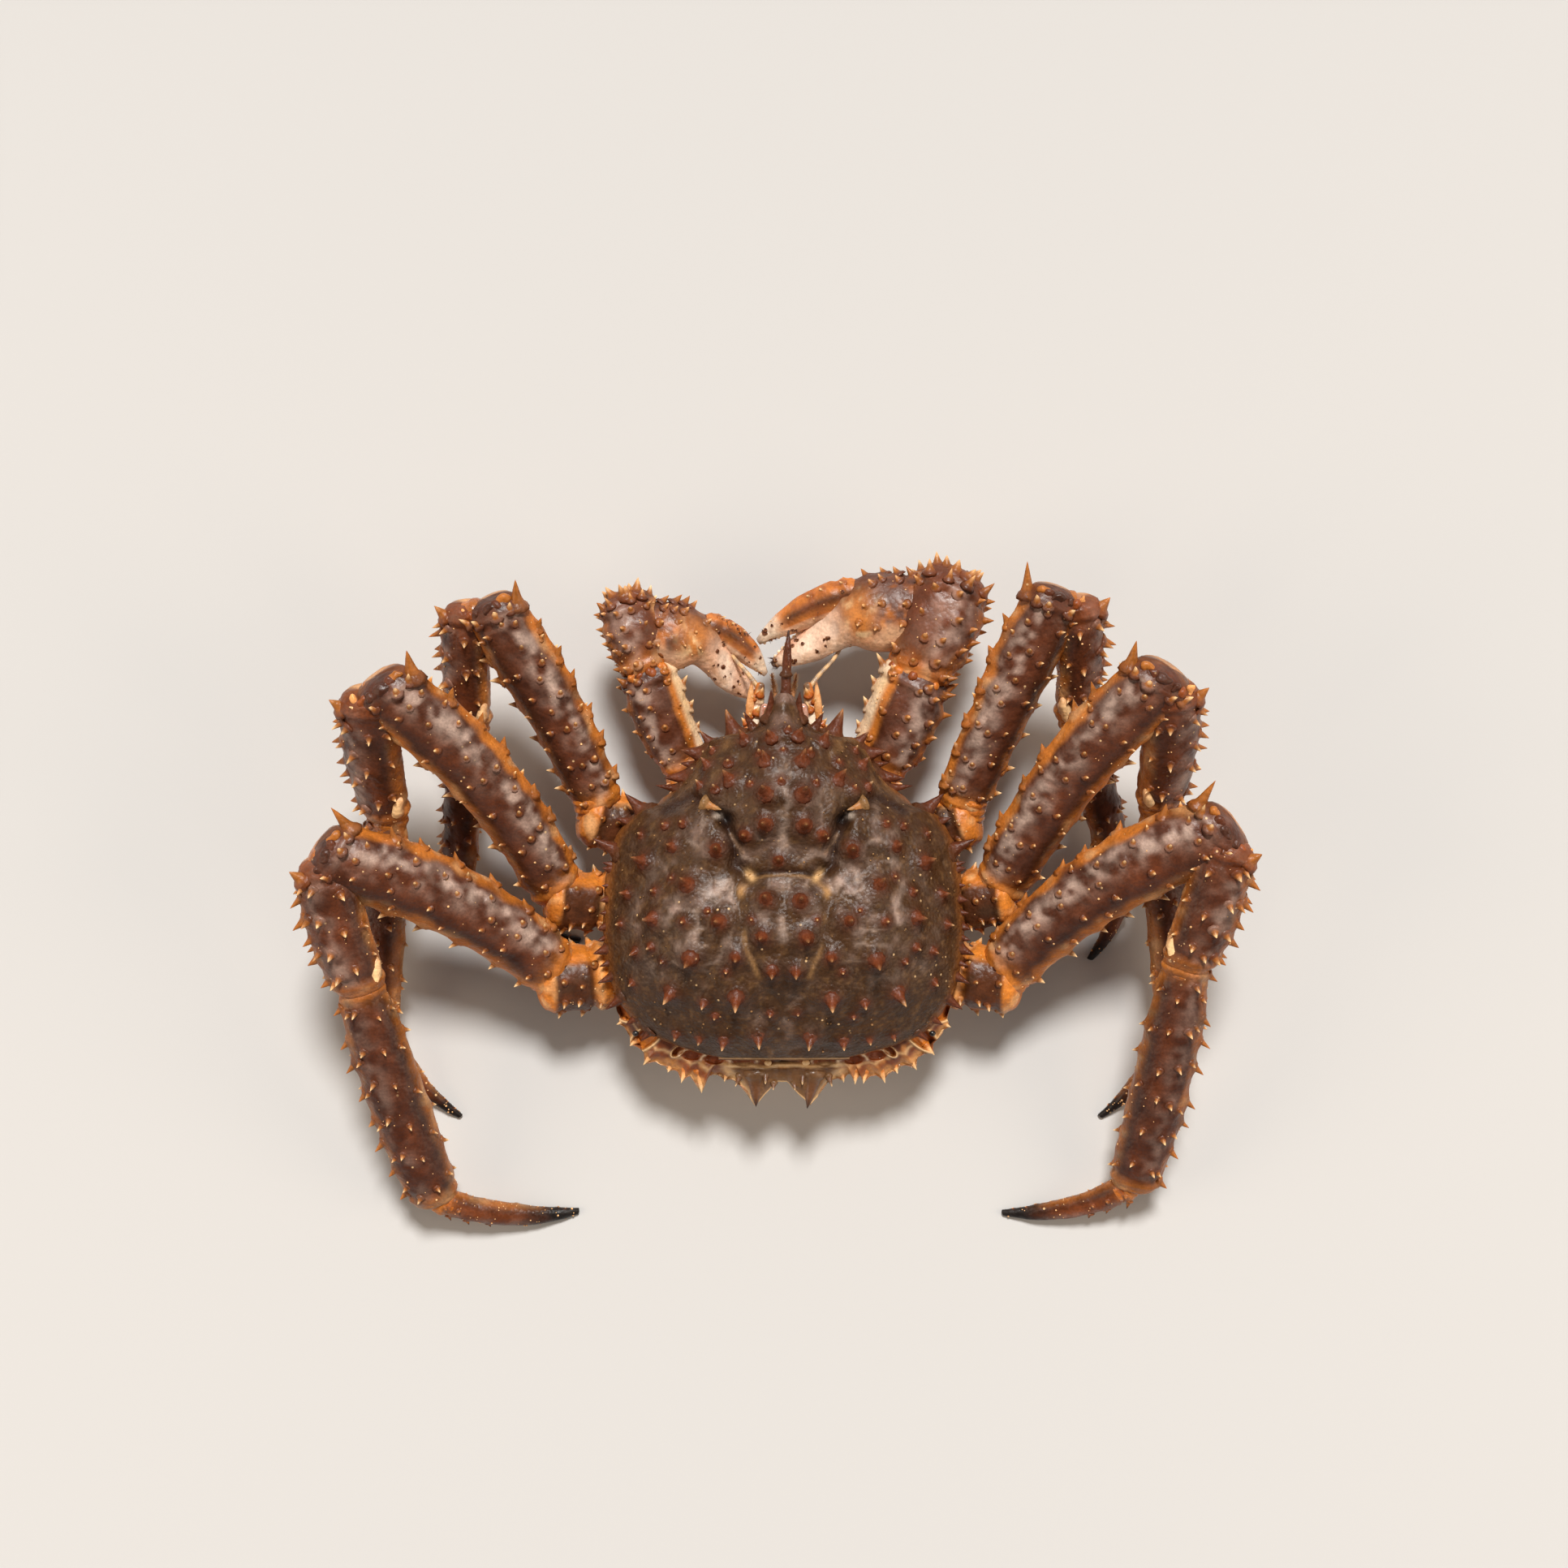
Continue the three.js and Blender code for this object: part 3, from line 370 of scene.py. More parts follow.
SPINE_HEIGHTS = np.array([0.0, 0.08, 0.2, 0.36, 0.54, 0.7, 0.84, 0.95])
SPINE_BREADTHS = np.array([1.3, 1.06, 0.88, 0.71, 0.54, 0.38, 0.22, 0.09])
SPINE_SIDES = 10
SPINE_BEND = 0.05
BEAD_HEIGHTS = np.array([-0.3, 0.25, 0.6, 0.72])
BEAD_BREADTHS = np.array([1.0, 0.92, 0.55, 0.0])
BEAD_SIDES = 7
PEBBLE_ROWS = 14
PEBBLE_SIDES = 20


class Skin:
    def __init__(self):
        self.points, self.faces, self.colours, self.total = [], [], [], 0

    def gather(self, points, faces, colours):
        self.points.append(points)
        self.faces.append(faces + self.total)
        self.colours.append(colours)
        self.total += len(points)

    def tube(self, rings, colours):
        """Closed shell through rings of points, with a fan over each end."""
        count, sides = rings.shape[:2]
        colours = np.broadcast_to(colours, rings.shape)
        i, j = np.meshgrid(np.arange(count - 1), np.arange(sides), indexing="ij")
        a, b = (i * sides + j).ravel(), (i * sides + (j + 1) % sides).ravel()
        walls = np.concatenate([np.stack([a, b, b + sides], 1), np.stack([a, b + sides, a + sides], 1)])
        ring = np.arange(sides)
        first, last = count * sides, count * sides + 1
        top = (count - 1) * sides
        start = np.stack([(ring + 1) % sides, ring, np.full(sides, first)], 1)
        end = np.stack([top + ring, top + (ring + 1) % sides, np.full(sides, last)], 1)
        points = np.concatenate([rings.reshape(-1, 3), [rings[0].mean(0), rings[-1].mean(0)]])
        shades = np.concatenate([colours.reshape(-1, 3), [colours[0].mean(0), colours[-1].mean(0)]])
        self.gather(points, facing_out(points, np.concatenate([walls, start, end])), shades)

    def lathes(self, roots, axes, heights, breadths, sides, bends, colours):
        """Many small turned shapes with a pointed top: heights and breadths hold a row for each."""
        number, rows = heights.shape
        helper = np.where(np.abs(axes[:, 2:]) < 0.9, (0, 0, 1), (1, 0, 0))
        across = unit(np.cross(axes, helper))
        other = np.cross(axes, across)
        turn = np.arange(sides) * 2 * math.pi / sides + rng.random((number, 1)) * math.pi
        ring = across[:, None] * np.cos(turn)[..., None] + other[:, None] * np.sin(turn)[..., None]
        middle = roots[:, None] + axes[:, None] * heights[..., None] + bends
        body = middle[:, :-1, None] + ring[:, None] * breadths[:, :-1, None, None]
        points = np.concatenate([body.reshape(number, -1, 3), middle[:, -1:], middle[:, :1]], axis=1)
        shades = np.repeat(colours[:, :-1], sides, axis=1)
        shades = np.concatenate([shades, colours[:, -1:], colours[:, :1]], axis=1)
        faces = []
        for i, j in itertools.product(range(rows - 2), range(sides)):
            a, b = i * sides + j, i * sides + (j + 1) % sides
            faces += [(a, b, b + sides), (a, b + sides, a + sides)]
        apex, foot = (rows - 1) * sides, (rows - 1) * sides + 1
        for j in range(sides):
            following = (j + 1) % sides
            faces += [(apex - sides + j, apex - sides + following, apex), (following, j, foot)]
        faces = facing_out(points[0], np.array(faces), roots[0])
        every = faces[None] + (np.arange(number) * points.shape[1])[:, None, None]
        self.gather(points.reshape(-1, 3), every.reshape(-1, 3), shades.reshape(-1, 3))

    def spines(self, roots, axes, lengths, radii, base, middle, tip, reach=0.62, flare=1.0):
        """Cones with a flared foot and a slightly turned point."""
        number = len(roots)
        s = np.append(SPINE_HEIGHTS, 1.0)
        breadth = np.append(SPINE_BREADTHS * (1 + (flare - 1) * np.exp(-SPINE_HEIGHTS / 0.12)), 0.0)
        heights = np.concatenate([-0.7 * radii[:, None], s * lengths[:, None]], axis=1)
        breadths = np.concatenate([1.6 * flare * radii[:, None], breadth * radii[:, None]], axis=1)
        s = np.concatenate([[0], s])
        bend = unit(rng.normal(size=(number, 3))) * SPINE_BEND
        bends = bend[:, None] * (s[None, :, None] ** 2) * lengths[:, None, None]
        low = step(0.0, 0.3, s)[None, :]
        high = step(reach - 0.25, reach + 0.25, s)[None, :]
        base, middle, tip = (np.broadcast_to(c, (number, 3))[:, None] for c in (base, middle, tip))
        colours = layered(base, (middle, low), (tip, high))
        self.lathes(roots, axes, heights, breadths, SPINE_SIDES, bends, colours)

    def spines_between(self, roots, tips, radii, base, middle, tip, **shape):
        """Spines from roots to tips."""
        roots, tips = np.asarray(roots, float), np.asarray(tips, float)
        lengths = np.linalg.norm(tips - roots, axis=1)
        self.spines(roots, unit(tips - roots), lengths, radii, base, middle, tip, **shape)

    def beads(self, roots, axes, radii, foot, top, height=1.0):
        """Low round granules."""
        heights = BEAD_HEIGHTS * height * radii[:, None]
        breadths = BEAD_BREADTHS * radii[:, None]
        foot, top = (np.broadcast_to(c, (len(roots), 3))[:, None] for c in (foot, top))
        colours = mix(foot, top, np.array([[0, 0.5, 1, 1]]))
        self.lathes(roots, axes, heights, breadths, BEAD_SIDES, np.zeros((1, 1, 3)), colours)

    def pebble(self, centre, axes, radii, colour, rim=None, rough=0.0, seed=0):
        """Rounded lump with three half axes."""
        phi = np.linspace(0.06, math.pi - 0.06, PEBBLE_ROWS)[:, None]
        turn = (np.arange(PEBBLE_SIDES) * 2 * math.pi / PEBBLE_SIDES)[None]
        round_about = np.sin(phi) * np.cos(turn), np.sin(phi) * np.sin(turn)
        local = np.stack([-np.cos(phi) + 0 * turn, *round_about], -1)
        axes = unit(np.asarray(axes, float))
        points = np.asarray(centre, float) + (local * np.asarray(radii)) @ axes
        points = points + unit(local @ axes) * rough * noise(points, 2.5, seed)[..., None]
        shades = np.broadcast_to(colour, points.shape)
        if rim is not None:
            shades = mix(shades, rim, step(0.55, 0.95, np.hypot(local[..., 0], local[..., 1])))
        self.tube(points, shades)

    def make(self, name, material, node=None, slot=None):
        mesh = bpy.data.meshes.new(name)
        points = np.concatenate(self.points)
        points[:, 2] = np.maximum(points[:, 2], FLOOR_GAP)
        points = points * MM
        faces = np.concatenate(self.faces).astype(np.int32)
        mesh.vertices.add(len(points))
        mesh.vertices.foreach_set("co", points.astype(np.float32).ravel())
        mesh.loops.add(faces.size)
        mesh.loops.foreach_set("vertex_index", faces.ravel())
        mesh.polygons.add(len(faces))
        mesh.polygons.foreach_set("loop_start", np.arange(0, faces.size, 3, dtype=np.int32))
        mesh.polygons.foreach_set("use_smooth", np.ones(len(faces), bool))
        mesh.update(calc_edges=True)
        tint = mesh.attributes.new("Tint", "FLOAT_COLOR", "POINT")
        shades = np.clip(np.concatenate(self.colours), 0, 1)
        tint.data.foreach_set("color", np.c_[shades, np.ones(len(shades))].astype(np.float32).ravel())
        mesh.materials.append(material)
        piece = bpy.data.objects.new(name, mesh)
        bpy.context.scene.collection.objects.link(piece)
        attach(piece, "root")
        if node:
            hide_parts(node)


# Materials

def shader(name, roughness, coat, grain, relief, mottle=0.22, specks=0.0, spread=0.1, mirror=0.38):
    """Shell, skin or bristle: the painted tint with fine mottling, granules, specks and a wet coat."""
    material = bpy.data.materials.new(name)
    material.use_nodes = True
    nodes, links = material.node_tree.nodes, material.node_tree.links
    surface = nodes["Principled BSDF"]
    surface.inputs["Coat Weight"].default_value = coat
    surface.inputs["Coat Roughness"].default_value = 0.18
    surface.inputs["Specular IOR Level"].default_value = mirror
    where = nodes.new("ShaderNodeTexCoord")

    def texture(kind, scale, **settings):
        node = nodes.new(kind)
        node.inputs["Scale"].default_value = scale
        for key, value in settings.items():
            node.inputs[key].default_value = value
        links.new(where.outputs["Object"], node.inputs["Vector"])
        return node

    def ramp(source, low, high, start, end):
        node = nodes.new("ShaderNodeMapRange")
        node.inputs["From Min"].default_value = low
        node.inputs["From Max"].default_value = high
        node.inputs["To Min"].default_value = start
        node.inputs["To Max"].default_value = end
        links.new(source, node.inputs["Value"])
        return node.outputs["Result"]

    tint = nodes.new("ShaderNodeAttribute")
    tint.attribute_name = "Tint"
    broad = texture("ShaderNodeTexNoise", 160, Detail=3.0)
    fine = texture("ShaderNodeTexNoise", 900, Detail=4.0, Roughness=0.6)
    cells = texture("ShaderNodeTexVoronoi", grain)
    shade = nodes.new("ShaderNodeHueSaturation")
    links.new(tint.outputs["Color"], shade.inputs["Color"])
    lightness = nodes.new("ShaderNodeMath")
    lightness.operation = "MULTIPLY"
    links.new(ramp(broad.outputs["Fac"], 0.3, 0.7, 1 - mottle, 1 + mottle), lightness.inputs[0])
    links.new(ramp(fine.outputs["Fac"], 0.3, 0.7, 1 - mottle, 1 + mottle), lightness.inputs[1])
    links.new(lightness.outputs[0], shade.inputs["Value"])
    colour = shade.outputs["Color"]
    if specks:
        dots = texture("ShaderNodeTexVoronoi", 420)
        chosen = nodes.new("ShaderNodeSeparateColor")
        links.new(dots.outputs["Color"], chosen.inputs["Color"])
        both = nodes.new("ShaderNodeMath")
        both.operation = "MULTIPLY"
        links.new(ramp(dots.outputs["Distance"], 0.16, 0.28, 1, 0), both.inputs[0])
        links.new(ramp(chosen.outputs["Red"], 1 - specks, 1 - specks + 0.02, 0, 0.7), both.inputs[1])
        over = nodes.new("ShaderNodeMix")
        over.data_type = "RGBA"
        links.new(both.outputs[0], over.inputs["Factor"])
        links.new(colour, over.inputs[6])
        over.inputs[7].default_value = (*CREAM, 1)
        colour = over.outputs[2]
    links.new(colour, surface.inputs["Base Color"])
    wetness = ramp(broad.outputs["Fac"], 0.3, 0.7, roughness - spread, roughness + spread)
    links.new(wetness, surface.inputs["Roughness"])
    grains = nodes.new("ShaderNodeBump")
    grains.inputs["Strength"].default_value = relief
    grains.inputs["Distance"].default_value = 0.0005
    links.new(ramp(cells.outputs["Distance"], 0.0, 0.8, 1, 0), grains.inputs["Height"])
    ripple = nodes.new("ShaderNodeBump")
    ripple.inputs["Strength"].default_value = relief
    ripple.inputs["Distance"].default_value = 0.0004
    links.new(fine.outputs["Fac"], ripple.inputs["Height"])
    links.new(grains.outputs["Normal"], ripple.inputs["Normal"])
    links.new(ripple.outputs["Normal"], surface.inputs["Normal"])
    return material


shell_material = shader("carapace_shell", 0.4, 0.03, 520, 0.6, specks=0.03, mirror=0.26)
leg_material = shader("leg_shell", 0.4, 0.04, 430, 0.45, mottle=0.22, specks=0.03, mirror=0.32)
claw_material = shader("claw_shell", 0.42, 0.05, 430, 0.4, mottle=0.18)
skin_material = shader("joint_skin", 0.3, 0.5, 700, 0.5, mottle=0.2)
pale_material = shader("under_shell", 0.42, 0.3, 480, 0.4, mottle=0.14)
feeler_material = shader("feeler", 0.4, 0.3, 900, 0.3, mottle=0.12)
eye_material = shader("eye_cornea", 0.08, 0.6, 1600, 0.1, mottle=0.05, spread=0.02)


# Limb segments, on the same axes and sections as the solids

class Limb:
    def __init__(self, start, end, inside, widths, depth, bow=0.0):
        self.start, self.end = np.asarray(start, float), np.asarray(end, float)
        self.widths, self.depth, self.bow = widths, depth, bow
        self.axis = self.end - self.start
        self.length = np.linalg.norm(self.axis)
        self.axis = self.axis / self.length
        out = (self.start + self.end) / 2 - np.asarray(inside, float)
        self.out = unit(out - self.axis * (out @ self.axis))
        self.top = np.cross(self.axis, self.out)
        if self.top[2] < 0:
            self.top = -self.top

    def centre(self, t):
        t = np.asarray(t, float)[..., None]
        return self.start * (1 - t) + self.end * t + self.out * self.bow * 4 * t * (1 - t)

    def width(self, t):
        return curve(np.linspace(0, 1, len(self.widths)), self.widths, t)

    def frame(self, t):
        """The way along, out and up at places along the limb."""
        return self.axis, self.out, self.top

    def surface(self, t, a, scale=1.0, shift=0.0):
        half = self.width(t) / 2 * scale
        along, out, top = self.frame(t)
        side, lift = squarish(a)
        point = self.centre(t) + along * np.asarray(shift)[..., None]
        return point + out * (side * half)[..., None] + top * (lift * half * self.depth)[..., None]

    def from_middle(self, grid, t):
        """Direction from the middle line to points of the surface."""
        return unit(grid - self.centre(t))

    def placed(self, rows):
        """Roots, directions, lengths, radii and angles of the spines in rows, each a little off its place."""
        t, a, length, radius, lean = [], [], [], [], []
        for degrees, first, last, number, first_length, last_length, size, slant in rows:
            share = np.linspace(0, 1, number) if number > 1 else np.zeros(1)
            shifts = (rng.random(number) - 0.5) * (0.06 if number > 1 else 0)
            t.append(first + (last - first) * share + shifts)
            a.append(np.radians(degrees + (rng.random(number) - 0.5) * 16))
            usual = first_length + (last_length - first_length) * share
            length.append(usual * (0.85 + rng.random(number) * 0.3))
            radius.append(size * (0.9 + rng.random(number) * 0.25))
            lean.append(np.full(number, slant))
        t, a, length, radius, lean = (np.concatenate(x) for x in (t, a, length, radius, lean))
        root = self.surface(t, a)
        away = unit(self.from_middle(root, t) + self.axis * lean[:, None])
        return root, away, length, radius, a


# Places of the four points of a line, spread evenly over it
THIRDS = [0, 0.33, 0.66, 1]


class Sweep(Limb):
    """A limb along a curved path, with its sections square to the path."""
    def __init__(self, path, places, inside, widths, width_places, depth):
        super().__init__(path[0], path[-1], inside, widths, depth)
        self.path, self.places, self.width_places = np.asarray(path, float), places, width_places

    def centre(self, t):
        t = np.asarray(t, float)
        return np.stack([curve(self.places, self.path[:, k], t) for k in range(3)], -1)

    def width(self, t):
        return curve(self.width_places, self.widths, t)

    def frame(self, t):
        along = unit(self.centre(np.clip(t + 0.01, 0, 1)) - self.centre(np.clip(t - 0.01, 0, 1)))
        out = unit(self.out - along * np.sum(self.out * along, -1, keepdims=True))
        top = np.cross(along, out)
        return along, out, top * np.sign(np.sum(top * self.top, -1, keepdims=True))


END_RINGS = 6


def limb_grid(limb, spacing=1.0, cap=0.16, squeeze=0.92):
    """Places along and round a limb, with the way its two ends round off."""
    rings = max(int(limb.length / spacing), 12)
    sides = max(int(limb.width(0.5) * 2.9 / (spacing * 1.1)), 20)
    arc = np.linspace(0.1, math.pi / 2, END_RINGS + 1)[:-1]
    inner = np.linspace(0, 1, rings)
    t = np.concatenate([np.zeros(END_RINGS), inner, np.ones(END_RINGS)])
    scale = np.concatenate([np.sin(arc), np.ones(rings), np.sin(arc)[::-1]])
    near, far = limb.width(0.0) * cap, limb.width(1.0) * cap
    shift = np.concatenate([-np.cos(arc) * near, np.zeros(rings), np.cos(arc)[::-1] * far])
    edge = np.minimum(inner, 1 - inner) * limb.length
    scale[END_RINGS:-END_RINGS] *= squeeze + (1 - squeeze) * step(0, 5, edge)
    scale[:END_RINGS] *= squeeze
    scale[-END_RINGS:] *= squeeze
    a = np.arange(sides) * 2 * math.pi / sides
    shape = (len(t), sides)
    return np.broadcast_to(t[:, None], shape), np.broadcast_to(a, shape), scale[:, None], shift[:, None]


def limb_skin(limb, spacing, cap):
    """Places over a limb, its surface there and the directions away from its middle line."""
    t, a, scale, shift = limb_grid(limb, spacing, cap, 1.0)
    grid = limb.surface(t, a, scale, shift)
    return t, a, grid, limb.from_middle(grid, np.clip(t, 0.02, 0.98))


def round_grid(rows, sides):
    """Even places along and round a thin sweep."""
    t = np.broadcast_to(np.linspace(0, 1, rows)[:, None], (rows, sides))
    return t, np.broadcast_to(np.arange(sides) * 2 * math.pi / sides, (rows, sides))


def nearness(points, roots, reach, heights=None, power=2.0):
    """How near each point is to the nearest spine root, 1 or its height at a root and 0 past its reach."""
    flat = points.reshape(-1, 3)
    best = np.zeros(len(flat))
    heights = np.ones(len(roots)) if heights is None else heights
    for root, size, height in zip(roots, reach, heights):
        away = np.linalg.norm(flat - root, axis=1) / size
        best = np.maximum(best, height * np.exp(-(away**power)))
    return best.reshape(points.shape[:-1])


def nearest_colours(points, colours, roots):
    """Colour of the surface point nearest to each root."""
    flat, shades = points.reshape(-1, 3), colours.reshape(-1, 3)
    return np.array([shades[np.argmin(np.sum((flat - root) ** 2, axis=1))] for root in roots])


# Tone of the top of some segments, strength of the painted lilac highlight, and strength of the amber edges
# (own colour with a painted glow), by kind of segment
TOP_TONES = {"propodus": mix(RED_BROWN, DARK_BROWN, 0.5), "dactyl": mix(ORANGE, BROWN, 0.6)}
SHINE = {"hip": 0.15, "merus": 0.8, "carpus": 0.45, "propodus": 0.2, "dactyl": 0.2}
EDGING = {"hip": 0.9, "merus": 0.95, "carpus": 0.55, "propodus": 0.42, "dactyl": 0.3}


def limb_colours(t, a, points, limb, kind, seed):
    """Brown above with a painted lilac highlight, amber along the edges and at the ends, paler below; the
    amber edges are the shell's own colour with a painted glow over them.
    """
    side, up = squarish(a)[0], np.sin(a)
    cloud, patch = cloud_of(points, 13, seed), cloud_of(points, 5, seed + 7)
    web, glint = cloud_of(points, 4.5, seed + 11), cloud_of(points, 3, seed + 12)
    from_start, from_end = t * limb.length, (1 - t) * limb.length
    edge = layered(AMBER, (ORANGE, 0.5 * cloud), (CREAM, 0.4 * step(0.5, 0.85, patch)))
    under = mix(mix(ORANGE, BROWN, 0.35 * cloud), mix(CREAM, AMBER, 0.3), 0.15 + 0.6 * patch)
    # Painted highlight: a broken lilac band along the upper outer side, strongest on the merus
    shine = bell(wrapped(a - 1.0 - 0.25 * (web - 0.5)), 0.42)
    shine = shine * step(0.36, 0.66, cloud * 0.15 + patch * 0.25 + web * 0.3 + glint * 0.3)
    colour = layered(
        TOP_TONES.get(kind, mix(BROWN, RED_BROWN, 0.3)),
        (DARK_BROWN, 0.65 * cloud + 0.3 * step(0.1, 0.6, -side)),
        (RUST_LIGHT, 0.4 * bell(side, 0.5) * patch),
        (mix(LILAC, WHITE, 0.12), SHINE[kind] * shine))
    # Amber edges: the shell's own colour with a painted glow along both sides, paler at the inner edge
    wave = 0.1 * noise(points, 7, seed + 3)
    border = np.clip(step(0.5, 1.0, -side + wave) ** 1.5 + 0.8 * step(0.84, 1.02, side + wave), 0, 1)
    colour = layered(
        colour,
        (mix(colour, edge, 0.95), EDGING[kind] * border),
        (mix(edge, CREAM, 0.25), EDGING[kind] * 0.6 * step(0.9, 1.0, -side + wave)))
    if kind == "hip":
        plate = step(1.5, 4.5, from_end) * step(23, 19, from_end) * step(0.05, 0.4, up)
        plate = plate * step(-0.98, -0.7, side) * step(1.02, 0.8, side)
        colour = layered(
            edge,
            (mix(BROWN, DARK_BROWN, patch), plate * 0.95),
            (mix(CREAM, AMBER, 0.5), 0.6 * bell(from_end - 23.5, 1.2) * step(-0.2, 0.3, up)))
    elif kind == "merus":
        knee = mix(DARK_BROWN, RED_BROWN, patch)
        colour = layered(colour, (edge, 0.9 * bell(from_start, 7)), (knee, 0.85 * step(3, 1.4, from_end)))
    elif kind == "carpus":
        colour = layered(colour, (edge, 0.5 * bell(from_end, 4)), (RUST, 0.8 * bell(from_start, 6)))
    elif kind == "propodus":
        colour = layered(colour, (edge, 0.5 * bell(from_end, 4)), (edge, 0.5 * bell(from_start, 5)))
    elif kind == "dactyl":
        nail = step(0.52, 0.86, t + 0.06 * noise(points, 4, seed))
        colour = layered(colour, (AMBER, 0.7 * bell(from_start, 6)), (BLACK, nail))
    return mix(colour, under, 0.85 * step(0.05, 0.6, -up) * (1 - step(0.5, 0.8, t) * (kind == "dactyl")))


def claw_colours(t, a, points, limb, kind, seed):
    """Brown and amber outside, cream and orange on the face turned to the mouth."""
    colour = limb_colours(t, a, points, limb, "merus", seed)
    side = np.cos(a)
    patch = cloud_of(points, 6, seed + 9)
    if kind == "carpus":
        return mix(colour, mix(ORANGE, BROWN, 0.4), 0.35 * patch)
    inner = step(0.3, 0.5, -side + 0.12 * (patch - 0.5)) * step(-0.6, 0.2, np.sin(a))
    pale = mix(mix(AMBER, ORANGE, 0.3), mix(CREAM, WHITE, 0.6 * patch), step(0.55, 0.8, -side))
    return mix(colour, pale, 0.92 * inner)


def palm_tones(side, up, knuckle_spot, patch, fine):
    """Brown and amber above with a bright spot at the knuckle, flesh towards the mouth."""
    blotch = step(0.45, 0.72, fine * 0.55 + patch * 0.45)
    outside = step(0.1, 0.6, side + 0.5 * (patch - 0.5)) * step(-0.3, 0.1, up)
    return layered(
        mix(BROWN, LILAC, 0.35 * patch),
        (mix(mix(ORANGE, BROWN, 0.4), AMBER, 0.5 * fine), blotch),
        (mix(DARK_BROWN, RED_BROWN, 0.4 + 0.4 * fine), 0.6 * outside),
        (mix(mix(CREAM, AMBER, 0.45), ORANGE, 0.35 * patch), 0.9 * step(0.05, 0.5, -up)),
        (mix(FLESH, TAN, 0.2 + 0.3 * patch), 0.9 * step(0.3, 0.75, -side + 0.35 * (patch - 0.5))),
        (mix(AMBER, CREAM, step(0.5, 0.75, fine)), 0.8 * knuckle_spot))


def finger_colours(root, stripe, pale):
    """Amber and brown palm that runs out into a pale finger."""
    def paint_finger(t, a, points, limb, kind, seed):
        patch, fine = cloud_of(points, 6, seed), cloud_of(points, 2.6, seed + 4)
        up, side = np.sin(a), np.cos(a)
        knuckle_spot = bell((t - root + 0.12) / 0.1, 1) * bell((a - 1.75) / 0.7, 1)
        palm = palm_tones(side, up, knuckle_spot, patch, fine)
        body = layered(
            mix(WHITE, ROSY, 0.3 + 0.6 * patch),
            (AMBER, pale * (0.1 + 0.5 * patch)),
            (mix(TAN, ORANGE, 0.3), 0.4 * bell(np.sin(3 * a + 1.0) - 1, 0.35) * step(0.2, 0.6, fine)),
            (mix(ORANGE, AMBER, fine), 0.6 * step(0.3, 0.9, side + 0.4 * (patch - 0.5))))
        if stripe > 0.5:
            back = step(1.75, 1.45, np.abs(wrapped(a - 0.3)) + 0.2 * (patch - 0.5))
            band = bell(wrapped(a - 1.25), 0.34 + 0.1 * patch)
            body = layered(
                body,
                (mix(AMBER, ORANGE, 0.25 + 0.5 * fine), 0.95 * back),
                (mix(BROWN, DARK_BROWN, 0.6 * patch), 0.92 * band * step(0.82, 0.62, t)),
                (mix(WHITE, TAN, 0.15 + 0.2 * patch), 0.9 * step(0.66, 0.84, t + 0.05 * (fine - 0.5))))
        body = mix(body, RUST_LIGHT, 0.5 * stripe * step(0.5, 0.8, fine) * step(-0.2, 0.2, up))
        far = step(root - 0.08, root + 0.12, t + 0.12 * (patch - 0.5))
        return mix(mix(palm, body, far), mix(RED_BROWN, BLACK, 0.6), step(0.94, 1.0, t) * (1 - 0.5 * pale))
    return paint_finger


def limb_swelling(grid, t, a, limb, kind, crest, seed):
    """How far the shell stands out of the plain section: lumps, ridges and lips at the ends."""
    from_start, from_end = t * limb.length, (1 - t) * limb.length
    side = wrapped(a)
    swell = 0.5 * noise(grid, 11, seed) + 0.3 * noise(grid, 4.5, seed + 1) + 0.13 * noise(grid, 2, seed + 2)
    swell = swell + crest * bell(side, 0.16) + 0.5 * crest * bell(np.abs(side) - 2.95, 0.2)
    if kind not in ("dactyl", "palm", "finger"):
        swell = swell + 0.9 * bell(from_end - 2.4, 1.5) - 0.7 * bell(from_end - 6.2, 1.6)
    swell = swell + 0.7 * bell(from_start - 2.4, 1.4) - 0.7 * bell(from_start - 6, 1.7)
    if kind == "hip":
        swell = swell + 1.0 * bell(from_end - 24, 2.2) - 1.8 * bell(from_end - 21, 1.8)
    return swell


